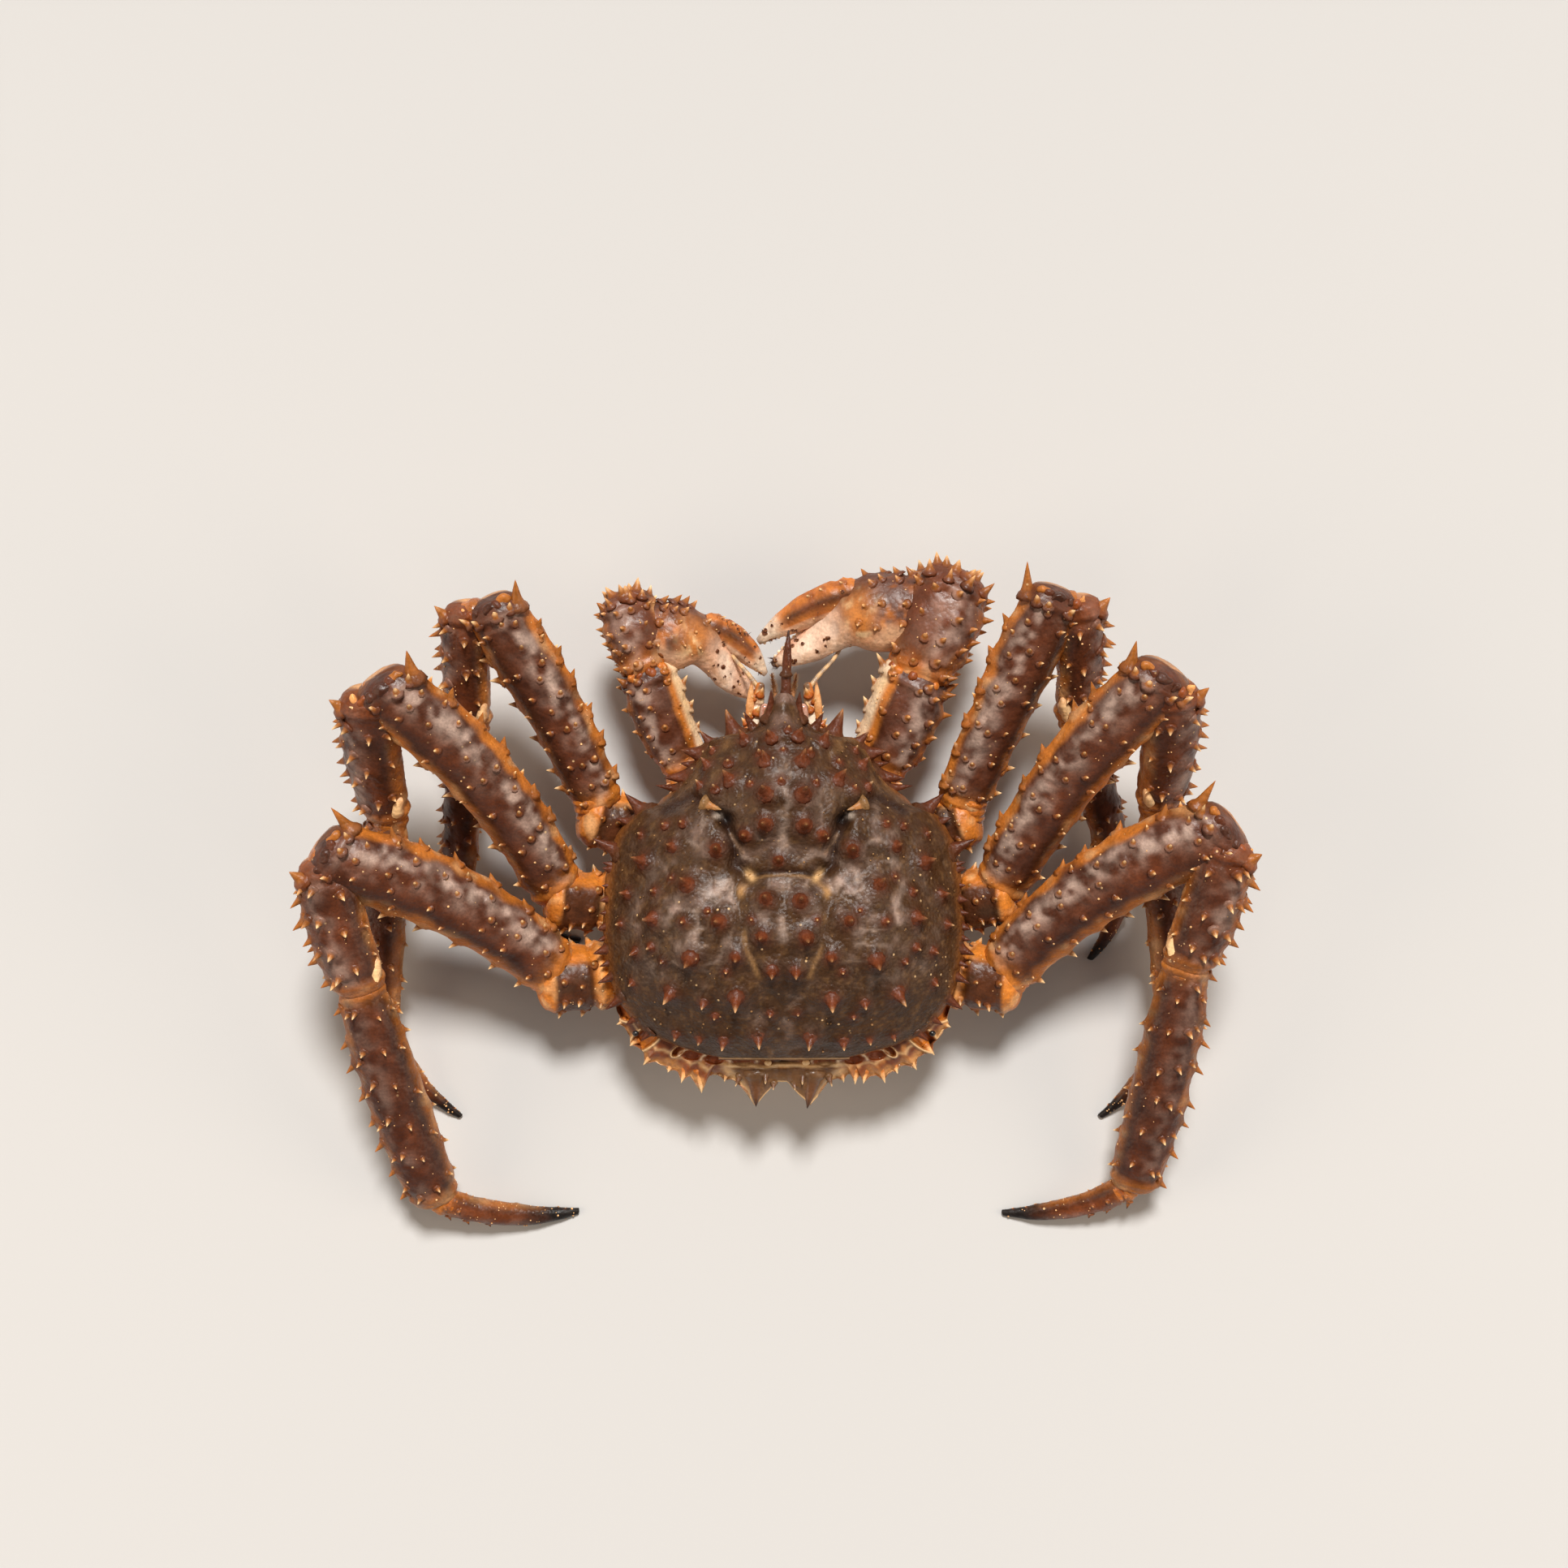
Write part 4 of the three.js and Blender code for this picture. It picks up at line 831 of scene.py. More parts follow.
def limb_piece(limb, rows, kind, seed, beads, crest=0.7, tip=PALE_TIP, colours=limb_colours, cap=0.16,
               crown=0):
    """One shell segment: its tube with ridges, swellings and lips, its spines and its granules."""
    t, a, scale, shift = limb_grid(limb, cap=cap)
    grid = limb.surface(t, a, scale, shift)
    away = limb.from_middle(grid + 1e-6, np.clip(t, 0.02, 0.98))
    root, axis, length, radius, angle = limb.placed(rows)
    mound = np.clip(0.26 * length, 0.6, 2.0)
    halo = nearness(grid, root, radius * 1.6)
    swell = limb_swelling(grid, t, a, limb, kind, crest, seed)
    swell = swell + nearness(grid, root, radius * 1.5, mound, 1.5)
    thin = np.minimum(1, limb.width(t) / 9)
    grid = grid + away * (swell * thin * np.minimum(scale, 1))[..., None]
    shades = colours(t, a, grid, limb, kind, seed)
    shades = mix(shades, mix(BROWN, ORANGE, 0.25), 0.45 * halo * step(-0.35, 0.2, np.sin(a)))
    skin = Skin()
    skin.tube(grid, shades)

    base = nearest_colours(grid, shades, root + axis * mound[:, None])
    root = root + axis * (0.42 * mound - 0.25)[:, None]
    lower = step(0.0, 0.5, -np.sin(angle))
    outer = step(0.8, 0.97, np.cos(angle)) * step(4.0, 5.0, length)
    inner = step(0.85, 0.98, -np.cos(angle))
    middle = mix(mix(BROWN, AMBER, 0.4), AMBER, lower)
    tips = layered(tip, (mix(AMBER, BROWN, 0.45), outer), (CREAM, inner))
    skin.spines(root, axis, length * 0.9, radius * 0.85, base, middle, tips, flare=1.2)
    if crown:
        around = np.radians(np.linspace(-20, 200, crown)) + 0.2 * rng.normal(size=crown)
        inset = 0.35 + 0.4 * rng.random(crown)
        end = np.ones(crown)
        place = limb.surface(end, around, inset, limb.width(1.0) * cap * np.sqrt(1 - inset**2) * 0.9)
        lift = unit(limb.axis * 1.1 + limb.from_middle(place, end) * 0.9)
        skin.spines(place, lift, 4 + 2.4 * rng.random(crown), 2.0 + 0.5 * rng.random(crown),
                    mix(BROWN, ORANGE, 0.2), mix(BROWN, AMBER, 0.4), tip, flare=1.4)
    i = rng.integers(8, grid.shape[0] - 8, beads)
    j = rng.integers(0, grid.shape[1], beads)
    size = 0.25 + 0.4 * rng.random(beads) ** 3
    skin.beads(grid[i, j], away[i, j], size, mix(BROWN, AMBER, 0.3), mix(AMBER, CREAM, 0.7))
    return skin


def lobe(skin, limb, degrees, scale, shift, radii, tone, along=1.0, **shape):
    """A rounded lump on the skin of a limb."""
    place = limb.surface(np.array(along), np.array(math.radians(degrees)), scale, shift)
    skin.pebble(place, (limb.axis, limb.out, limb.top), radii, tone, **shape)


def tufts(skin, roots, axes, length=1.3, hairs=6):
    """Little brushes of dark bristles, each on a brown spot."""
    number = len(roots)
    size = 0.7 + 0.6 * rng.random(number)
    skin.beads(roots, axes, size, mix(BROWN, TAN, 0.4), mix(BROWN, ORANGE, 0.15), height=0.4)
    root = np.repeat(roots, hairs, axis=0) + rng.normal(size=(number * hairs, 3)) * 0.3
    axis = unit(np.repeat(axes, hairs, axis=0) + rng.normal(size=(number * hairs, 3)) * 0.3)
    size = length * (0.6 + 0.6 * rng.random(number * hairs))
    dark = mix(DARK_BROWN, BROWN, 0.6)
    skin.spines(root, axis, size, np.full(len(root), 0.12), dark, dark, dark)


def teeth(skin, limb, first, last, number, angle, size, taper):
    share = np.linspace(0, 1, number)
    t = first + (last - first) * share
    root = limb.surface(t, np.full(number, angle), 0.96)
    radius = size * (1 - (1 - taper) * share) * (0.85 + 0.3 * rng.random(number))
    skin.beads(root, limb.from_middle(root, t), radius, mix(CREAM, AMBER, 0.3), WHITE, height=1.5)


# Joint skin: wrinkled sleeves between the hard pieces

def sleeve(name, first, second, size, dark, seed):
    start, end = first.centre(0.86), second.centre(0.14)
    middle = (first.centre(1.0) + second.centre(0.0)) / 2
    share = np.linspace(0, 1, 26)[:, None]
    line = start * (1 - share) ** 2 + 2 * middle * share * (1 - share) + end * share**2
    tangent = unit(np.gradient(line, axis=0))
    across = unit(np.cross(tangent, first.top + second.top))
    other = np.cross(tangent, across)
    turn = np.arange(30) * 2 * math.pi / 30
    half = (first.width(0.95) * (1 - share) + second.width(0.05) * share) * size
    folds = 1 + 0.05 * np.cos(share * 40)
    ring = across[:, None] * np.cos(turn)[None, :, None] + other[:, None] * np.sin(turn)[None, :, None] * 0.85
    grid = line[:, None] + ring * (half * folds)[..., None]
    grid = grid + ring * (0.5 * noise(grid, 3, seed))[..., None]
    skin = Skin()
    skin.tube(grid, layered(
        ORANGE, (AMBER, cloud_of(grid, 4, seed + 2)), (BLACK, dark * (0.7 + 0.3 * noise(grid, 6, seed + 5)))))
    skin.make(name, skin_material, slot="joint_orange")


# Carapace

NECK_PIT = (25, -33.5)
NECK_GLINT = (29, -35.2)
REAR_EDGE = 71.5
LIP_RINGS = 9
SHELL_BEADS = 300


def beside(x, y, line):
    """Distance from points to a line through a few places."""
    best = np.full(x.shape, 1e9)
    for (ax, ay), (bx, by) in zip(line, line[1:]):
        dx, dy = bx - ax, by - ay
        share = np.clip(((x - ax) * dx + (y - ay) * dy) / (dx * dx + dy * dy), 0, 1)
        best = np.minimum(best, np.hypot(x - ax - dx * share, y - ay - dy * share))
    return best


def shell_height(x, y):
    side = np.abs(x)
    half = curve(SHELL_Y, SHELL_HALF, y)
    ridge, margin = curve(SHELL_Y, SHELL_RIDGE, y), curve(SHELL_Y, SHELL_MARGIN, y)
    u = np.clip(side / half, 0, 1)
    inner = 1 - u**4
    z = margin + (ridge - margin) * np.clip(1 - u**2.3, 0, 1) ** 0.72
    for cx, cy, rx, ry, height in SWELLINGS:
        z = z + inner * height * np.exp(-(((side - cx) / rx) ** 2) - ((y - cy) / ry) ** 2)
    z = z + 3.2 * inner * step(-63, -74, y) * bell(side, 4 + 0.5 * np.maximum(y + 89, 0))
    for depth, breadth, line in GROOVES:
        z = z - inner * depth * bell(beside(side, y, line), breadth)
    for px, py, size, depth in PITS:
        z = z - depth * bell(np.hypot(side - px, y - py), size)
    return z


def on_shell(x, y):
    """Point on the carapace and the direction away from it."""
    point = np.stack([x, y, shell_height(x, y)], -1)
    d = 1.5
    slope_x = (shell_height(x + d, y) - shell_height(x - d, y)) / (2 * d)
    slope_y = (shell_height(x, y + d) - shell_height(x, y - d)) / (2 * d)
    return point, unit(np.stack([-slope_x, -slope_y, np.ones_like(x)], -1))


def shell_rings():
    """Cross rings of the shell with its rolled rear lip, their half widths, and which points are on top."""
    y = np.linspace(SHELL_Y[0], SHELL_Y[-1], 215)
    lip = np.linspace(0, 0.47 * math.pi, LIP_RINGS + 1)[1:]
    drop = np.concatenate([np.ones(len(y)), np.cos(lip)])[:, None]
    push = np.concatenate([np.zeros(len(y)), 1.7 * np.sin(lip)])[:, None]
    y = np.concatenate([y, np.full(len(lip), y[-1])])[:, None]
    half = curve(SHELL_Y, SHELL_HALF, y)
    margin, under = curve(SHELL_Y, SHELL_MARGIN, y), curve(SHELL_Y, SHELL_UNDER, y)
    x = np.sin(math.pi / 2 * np.linspace(-1, 1, 231)[None]) * half
    top = np.stack([x, y + 0 * x, shell_height(x, y)], -1)
    arc = np.linspace(0, 1, 12)[None, 1:]
    wall_x = half * (1 - 0.16 * arc**1.6 + 0.012 * np.sin(math.pi * arc))
    wall = np.stack([wall_x, y + 0 * wall_x, margin + (under - margin) * arc], -1)
    floor_x = half * np.linspace(0.8, -0.8, 17)[None]
    floor = np.stack([floor_x, y + 0 * floor_x, under + 0 * floor_x], -1)
    mirrored = wall * np.array([-1, 1, 1])
    grid = np.concatenate([top, wall, floor, mirrored[:, ::-1]], axis=1)
    level = 45.0
    grid[..., 2] = level + (grid[..., 2] - level) * drop
    grid[..., 1] += push
    on_top = np.zeros(grid.shape[:2], bool)
    on_top[:, :top.shape[1]] = True
    return grid, y, half, on_top


def shell_swelling(grid, y, half, on_top, corner, rise):
    """The rings moved out by lumps, spine mounds and knobs, with an uneven margin."""
    count = int(np.sum(on_top[0]))
    normal = grid_normals(grid, np.array([0.0, 0.0, 1.0]))
    normal[:, count:] = unit(grid[:, count:] - np.array([0, 0, 50])) * np.array([1, 0.2, 1])
    swell = 0.55 * noise(grid, 8, 3) + 0.3 * noise(grid, 3.6, 4) + 0.12 * noise(grid, 1.8, 5)
    swell = swell + rise * on_top + 1.1 * corner
    fade = step(0, 4, (y - SHELL_Y[0])) * (0.3 + 0.7 * step(0, 3, (SHELL_Y[-1] - y)))
    grid = grid + unit(normal) * (swell * fade)[..., None]
    flat = grid * np.array([1, 1, 0])
    ripple = noise(flat, 5.5, 16) + 0.6 * noise(flat, 2.6, 17)
    grid[..., 0] += np.sign(grid[..., 0]) * 0.8 * ripple * fade * step(0.8, 1.0, np.abs(grid[..., 0]) / half)
    return grid


def shell_colours(grid, half, on_top, corner, root, radius, crest):
    """Olive shell with painted lilac highlights in patches, webs and streaks, dark grooves, cream lines, a
    pit painted black as shade with a painted glint, and dark red spine feet.
    """
    side, ys = np.abs(grid[..., 0]), grid[..., 1]
    cloud, patch, web = cloud_of(grid, 20, 11), cloud_of(grid, 7, 12), cloud_of(grid, 4.2, 15)

    def spot(x, y, size, stretch=1.0):
        return bell(np.hypot(side - x, (ys - y) * stretch), size)

    # Painted highlight: lilac sheens in patches, web lines and streaks, kept mostly to the valleys between
    # the spine mounds
    sheen = spot(30, -14, 22) + spot(0, -40, 14) + spot(42, 14, 18) + spot(0, 2, 12) + 0.6 * spot(0, 54, 12)
    valley = 1 - 0.85 * nearness(grid, root, radius * 3.4)
    lines = 1 - np.abs(noise(grid, 7.5, 21) + 0.25 * noise(grid, 2.5, 22))
    lines = step(0.72, 0.98, lines) * np.clip(1.3 * sheen, 0, 1) * valley
    sheen_haze = np.clip(sheen, 0, 1) * step(0.42, 0.8, cloud * 0.25 + patch * 0.35 + web * 0.4) * valley
    sheen_streak = bell(np.hypot(side / 2.4, (ys + 38) / 19), 1) + bell(np.hypot(side / 2, (ys - 8) / 12), 1)
    front = step(-34, -58, ys) * step(12, 24, side) * step(0.3, 0.7, 0.6 * patch + 0.4 * web)
    # Rostral shield: its own brown with a painted lilac sheen on top; the flanks beside it are darker
    shield = step(-66, -80, ys) * step(9, 2, side) * on_top
    flanks = step(-70, -80, ys) * step(4, 9, side) * on_top
    colour = layered(
        mix(OLIVE, OLIVE_DARK, 0.1 + 0.6 * patch),
        (mix(OLIVE, TAN, 0.35), 0.3 * step(0.55, 0.9, cloud_of(grid, 1.6, 13))),
        (LILAC, 0.8 * sheen_haze),
        (mix(LILAC, WHITE, 0.2), 0.55 * lines * step(0.3, 0.7, patch)),
        (mix(LILAC, WHITE, 0.25), 0.6 * sheen_streak * step(0.3, 0.75, web * 0.6 + patch * 0.4)),
        (mix(TAN, BROWN, 0.45), 0.5 * front * valley),
        (mix(LILAC, BROWN, 0.45), 0.62 * shield * step(0.15, 0.7, web * 0.5 + patch * 0.5)),
        (mix(BROWN, OLIVE_DARK, 0.4), 0.6 * flanks))
    for _, breadth, line in GROOVES[:2]:
        colour = mix(colour, DARK_BROWN, 0.85 * bell(beside(side, ys, line), breadth * 0.9))
    ridge = bell(beside(side, ys, HEART_RIDGE), 1.0) * step(0.25, 0.7, patch * 0.5 + web * 0.5)
    colour = layered(
        colour,
        (mix(TAN, OLIVE, 0.3), 0.6 * ridge),
        (mix(TAN, LILAC, 0.5), 0.5 * bell(beside(side, ys, NECK_LINE), 0.8)),
        (mix(TAN, OLIVE, 0.3), 0.5 * bell(beside(side, ys, HEART_ARC), 0.6)),
        (OLIVE_DARK, 0.75 * spot(0, 40, 6.5)),
        # The neck pit painted black as shade, with a painted highlight (glint) beside it
        (BLACK, 0.9 * spot(*NECK_PIT, 3.0)),
        (mix(WHITE, LILAC, 0.5), 0.8 * spot(*NECK_GLINT, 1.6, 1.3)),
        (mix(TAN, CREAM, 0.4), np.clip(1.5 * corner, 0, 0.92)),
        (mix(TAN, OLIVE, 0.15), 0.75 * spot(18.6, -2.2, 1.7, 1 / 1.6)),
        (mix(OLIVE_DARK, DARK_BROWN, 0.3), 0.55 * nearness(grid, crest, radius * 2.7) * on_top),
        (mix(RED_BROWN, OLIVE_DARK, 0.3), 0.95 * nearness(grid, crest, radius * 1.6) * on_top))
    ground = mix(nearest_colours(grid, colour, crest), RED_BROWN, 0.4)
    below = mix(mix(ORANGE, TAN, cloud), CREAM, 0.5 * patch)
    colour = layered(
        colour,
        (mix(BROWN, AMBER, 0.35), 0.55 * step(0.93, 1.0, side / half) * on_top),
        (mix(mix(BROWN, AMBER, 0.3), RED_BROWN, patch), 0.9 * step(REAR_EDGE, REAR_EDGE + 0.6, ys) * on_top),
        (mix(CREAM, TAN, 0.4 + 0.4 * patch), 0.85 * bell(ys - REAR_EDGE, 0.3) * on_top),
        (below, 0.9 * ~on_top))
    return colour, ground


def add_margin_spines(skin):
    roots, tips, sizes = [], [], []
    for sign in (1, -1):
        for root_y, size, point in MARGIN_SPINES + SMALL_MARGIN_SPINES:
            at = np.array(root_y, float)
            place = curve(SHELL_Y, SHELL_HALF, at) - 2.2
            roots.append((sign * place, root_y, curve(SHELL_Y, SHELL_MARGIN, at) + 2))
            tips.append((sign * point[0], point[1], point[2]))
            sizes.append(size)
    for start, point, size in ROSTRUM_SPINES:
        roots.append(start)
        tips.append(point)
        sizes.append(size)
    roots, tips, sizes = (np.array(v, float) for v in (roots, tips, sizes))
    ahead = step(-60, -72, roots[:, 1]) * step(14, 18, np.abs(roots[:, 0]))
    tones = mix(mix(RED_BROWN, DARK_BROWN, 0.5), mix(TAN, ORANGE, 0.4), ahead)
    skin.spines_between(roots, tips, sizes, mix(OLIVE, BROWN, 0.5), mix(RED_BROWN, BROWN, 0.3), tones,
                        reach=0.85, flare=1.3)


def add_front_spine(skin):
    beak = Sweep(ROSTRUM_TIP, THIRDS, (0, -95, 40), ROSTRUM_TIP_WIDTHS, [0, 0.16, 0.4, 0.62, 0.8, 1], 0.9)
    t, a, line, away = limb_skin(beak, 0.6, 0.3)
    # Painted highlight: a lilac stripe along the top of the front spine
    light = bell(wrapped(a - 1.9), 0.5) * step(0.85, 0.7, t)
    tone = layered(
        mix(BROWN, RED_BROWN, 0.6),
        (OLIVE_DARK, 0.35 * cloud_of(line, 3, 18)),
        (mix(LILAC, BROWN, 0.4), 0.55 * light),
        (DARK_BROWN, 0.8 * step(0.82, 1.0, t)))
    skin.tube(line + away * (0.25 * noise(line, 2.5, 19))[..., None], tone)


def add_shell_granules(skin):
    bx = (rng.random(SHELL_BEADS) * 2 - 1) * 76
    by = -80 + rng.random(SHELL_BEADS) * 148
    keep = np.abs(bx) < 0.95 * curve(SHELL_Y, SHELL_HALF, by)
    point, away = on_shell(bx[keep], by[keep])
    size = 0.3 + 0.35 * rng.random(len(point)) ** 3
    skin.beads(point + away * 0.3, away, size, mix(OLIVE, BROWN, 0.4), mix(OLIVE, TAN, 0.5))


def add_groove_spines(skin):
    for sign in (1, -1):
        (start_x, start_y), (end_x, end_y), size = GROOVE_SPINE
        start = (sign * start_x, start_y, shell_height(np.array(start_x), np.array(start_y)) - 0.2)
        point = (sign * end_x, end_y, shell_height(np.array(end_x + 3), np.array(end_y)) + 1.8)
        skin.spines_between([start], [point], np.array([size]), mix(OLIVE, TAN, 0.35), mix(TAN, ORANGE, 0.45),
                            mix(TAN, BROWN, 0.3), flare=1.35)


def build_carapace():
    grid, y, half, on_top = shell_rings()
    both = np.array(SHELL_SPINES + [(-x, y, s) for x, y, s in SHELL_SPINES] + MIDLINE_SPINES, float)
    jitter = (rng.random((len(both), 2)) - 0.5) * 0.8
    root, away = on_shell(both[:, 0] + jitter[:, 0], both[:, 1] + jitter[:, 1])
    length = both[:, 2] * (0.9 + 0.2 * rng.random(len(both)))
    radius = (1.0 + both[:, 2] * 0.17) * (1.14 + 0.06 * step(-15, -55, both[:, 1]))
    away = unit(away + np.stack([0 * length, both[:, 1] * 0.006, 0 * length], -1))
    mound = 0.42 * length
    corner_x, corner_y = np.abs(grid[..., 0]) - CORNER[0], grid[..., 1] - CORNER[1]
    corner = bell(np.hypot((corner_x + 0.6 * corner_y) / 1.7, (corner_y - 0.5 * corner_x) / 3.0), 1) * on_top
    grid = shell_swelling(grid, y, half, on_top, corner, nearness(grid, root, radius * 1.7, mound, 1.5))
    colour, ground = shell_colours(grid, half, on_top, corner, root, radius, root + away * mound[:, None])
    skin = Skin()
    skin.tube(grid, colour)
    pale = step(18, 58, both[:, 1])
    tip = mix(mix(RED_BROWN, TAN, 0.35), mix(CREAM, AMBER, 0.3), pale)
    tip = np.where((both[:, 2] < 5)[:, None], mix(TAN, CREAM, 0.4), tip)
    skin.spines(root + away * (0.6 * mound - 0.2)[:, None], away, length * 0.8, radius * 0.86, ground,
                mix(RED_BROWN, ORANGE, 0.1), tip, reach=0.82, flare=1.1)
    add_margin_spines(skin)
    add_front_spine(skin)
    add_shell_granules(skin)
    add_groove_spines(skin)
    skin.make("shell_carapace", shell_material, "carapace", "shell")


build_carapace()


# Walking legs

# Lumps on the far end of a merus: angle, distance out, forward, half sizes and colour
KNEE_LOBES = [
    (84, 0.72, 0.6, (2.8, 4.4, 2.6), mix(BROWN, DARK_BROWN, 0.4)),
    (58, 0.8, 1.2, (2.2, 2.4, 2.0), mix(RED_BROWN, BROWN, 0.5)),
    (36, 0.84, 1.4, (2.2, 3.4, 2.0), mix(AMBER, BROWN, 0.5)),
    (112, 0.82, 0.9, (2.2, 2.2, 2.2), mix(BROWN, DARK_BROWN, 0.2)),
    (136, 0.84, 0.2, (2.4, 2.4, 2.2), mix(ORANGE, BROWN, 0.5)),
    (162, 0.92, 0.4, (4.6, 1.8, 1.8), mix(AMBER, CREAM, 0.25)),
]
# Joint skins of a leg: the segments they join, their thickness and darkness
LEG_JOINTS = [
    ("hip", "merus", 0.4, 0.1), ("merus", "carpus", 0.42, 0.45),
    ("carpus", "propodus", 0.42, 0.6), ("propodus", "dactyl", 0.4, 0.3),
]
LEG_SLOTS = {"hip": "joint_orange", "dactyl": "dactyl_dark"}


def build_leg(name, leg, seed):
    middle = (np.array(leg["base"]) + np.array(leg["knee"])) / 2
    courses = {
        "hip": (leg["root"], leg["hip"], leg["knee"]),
        "merus": (leg["base"], leg["knee"], leg["ankle"]),
        "carpus": (leg["bend"], leg["wrist"], middle),
        "propodus": (leg["wrist"], leg["ankle"], middle),
        "dactyl": (leg["ankle"], leg["tip"], leg["wrist"]),
    }
    limbs = {}
    for part, course in courses.items():
        limb = Limb(*course, LEG_WIDTHS[part][leg["size"]], LEG_DEPTH[part], LEG_BOW.get(part, leg["bow"]))
        limbs[part] = limb
        crest = 0.9 if part == "merus" else 0.5
        tip = mix(BROWN, BLACK, 0.5) if part == "dactyl" else PALE_TIP
        skin = limb_piece(limb, LEG_ROWS[part], part, seed * 31 + len(part), beads=60, crest=crest, tip=tip)
        if part == "merus":
            for degrees, scale, shift, radii, tone in KNEE_LOBES:
                lobe(skin, limb, degrees, scale, shift, radii, tone, rough=1.1, seed=seed + degrees)
        if part == "carpus":
            place = limb.surface(np.array(0.9), np.array(math.radians(140)), 0.86, 0.0)
            axes = (limb.axis + 0.25 * limb.out, limb.out, limb.top)
            skin.pebble(place, axes, (7.5, 2.8, 3.2), PALE_TIP, mix(CREAM, ORANGE, 0.45), rough=0.7, seed=9)
        slot = LEG_SLOTS.get(part, "leg_shell")
        skin.make(f"shell_{name}_{part}", leg_material, f"leg_{name}_{part}", slot)
    for first, second, size, dark in LEG_JOINTS:
        sleeve(f"skin_{name}_{second}", limbs[first], limbs[second], size, dark, seed)


for seed, (name, leg) in enumerate(LEGS.items()):
    build_leg(name, leg, seed)


# Claws

FACE = (0, -90, 30)
ELBOW_LOBES = [(38, 2.4), (66, 2.0), (92, 2.6), (122, 2.2), (150, 2.0), (178, 2.8)]
FINGER_ROWS = [(30, 0.08, 0.4, 3, 2.6, 1.6, 1.3, 0.4)]
FINGER_TUFTS = 20


def build_claw_arm(side_name, limbs, big, seed):
    """Hip, merus and carpus of a claw. The smaller claw has shorter spines."""
    for part, limb in limbs.items():
        rows = LEG_ROWS["hip"] if part == "hip" else CLAW_ROWS[part]
        if not big:
            rows = [(*row[:4], 0.8 * row[4], 0.8 * row[5], 0.85 * row[6], row[7]) for row in rows]
        wrist = part == "carpus"
        skin = limb_piece(
            limb, rows, part, 300 + seed * 7 + len(part), beads=60, tip=CLAW_TIP, crown=7 if wrist else 0,
            colours=limb_colours if part == "hip" else claw_colours, cap=0.22 if wrist else 0.16)
        if part == "merus":
            for angle, size in ELBOW_LOBES:
                tone = mix(ORANGE, BROWN, 0.45) if angle in (66, 92, 150) else mix(AMBER, ORANGE, 0.5)
                lobe(skin, limb, angle, 0.84, 0.2, (size, size, size * 0.8), tone, rough=0.9, seed=angle)
        skin.make(f"shell_claw_{side_name}_{part}", claw_material, f"claw_{side_name}_{part}",
                  "joint_orange" if part == "hip" else "leg_shell")


def palm_sweep(claw, heel, front, fixed_tip, finger_root, big):
    """The palm with its fixed finger on one curved path, and the place of the knuckle on it."""
    away = front - finger_root
    away = away / np.linalg.norm(away)
    low = 3.2 if big else 1.4
    path = [heel, (heel + front) / 2 + away * 0.4 * low, front + away * low,
            (front + fixed_tip) / 2 + away * 3.4, fixed_tip]
    reach = [0] + list(np.cumsum([np.linalg.norm(b - a) for a, b in zip(path, path[1:])]))
    places = np.array(reach) / reach[-1]
    knuckle = places[2]
    root_width, *finger_widths = claw["finger"]
    widths = [*claw["palm"], root_width * 1.2, *finger_widths]
    width_places = [0, knuckle * 0.34, knuckle * 0.68, knuckle, knuckle + 0.13, knuckle + 0.3, 0.86, 1]
    inside = ((heel + fixed_tip) / 2) * np.array([1, 0, 1]) + np.array([0, -55, 0])
    return Sweep(path, places, inside, widths, width_places, 0.78), knuckle


def build_palm(side_name, palm, knuckle, big, seed):
    look = finger_colours(knuckle + 0.06, 0.15 if big else 0.35, 0.15 if big else 0.45)
    skin = limb_piece(palm, CLAW_ROWS["palm"], "palm", 340 + seed, beads=30, crest=0.3, tip=CLAW_TIP,
                      colours=look, cap=0.3)
    teeth(skin, palm, knuckle + 0.16, 0.97, 13, 0.0, 2.1 if big else 1.2, 0.45)
    t = knuckle + 0.05 + (0.93 - knuckle) * rng.random(FINGER_TUFTS)
    a = (0.25 + 0.75 * rng.random(FINGER_TUFTS)) * math.pi * 0.95
    spot = palm.surface(t, a, 0.97)
    tufts(skin, spot, palm.from_middle(spot, t))
    ends = palm.surface(np.full(5, 0.985), np.linspace(0, 5, 5), 0.9)
    tufts(skin, ends, palm.from_middle(ends, np.full(5, 0.97)) + palm.axis, 3.0, 9)
    skin.make(f"shell_claw_{side_name}_palm", claw_material, f"claw_{side_name}_palm", "leg_shell")


def build_finger(side_name, finger, big, seed):
    look = finger_colours(-0.2, 0.8, 0.9)
    skin = limb_piece(finger, FINGER_ROWS, "finger", 360 + seed, beads=24, colours=look)
    teeth(skin, finger, 0.2, 0.96, 12, math.pi, 2.0 if big else 1.2, 0.4)
    t = 0.08 + 0.85 * rng.random(FINGER_TUFTS)
    a = (rng.random(FINGER_TUFTS) * 1.5 + 0.1) * math.pi * 0.6
    spot = finger.surface(t, a, 0.97)
    tufts(skin, spot, finger.from_middle(spot, t))
    skin.make(f"shell_claw_{side_name}_finger", claw_material, f"claw_{side_name}_finger", "joint_orange")


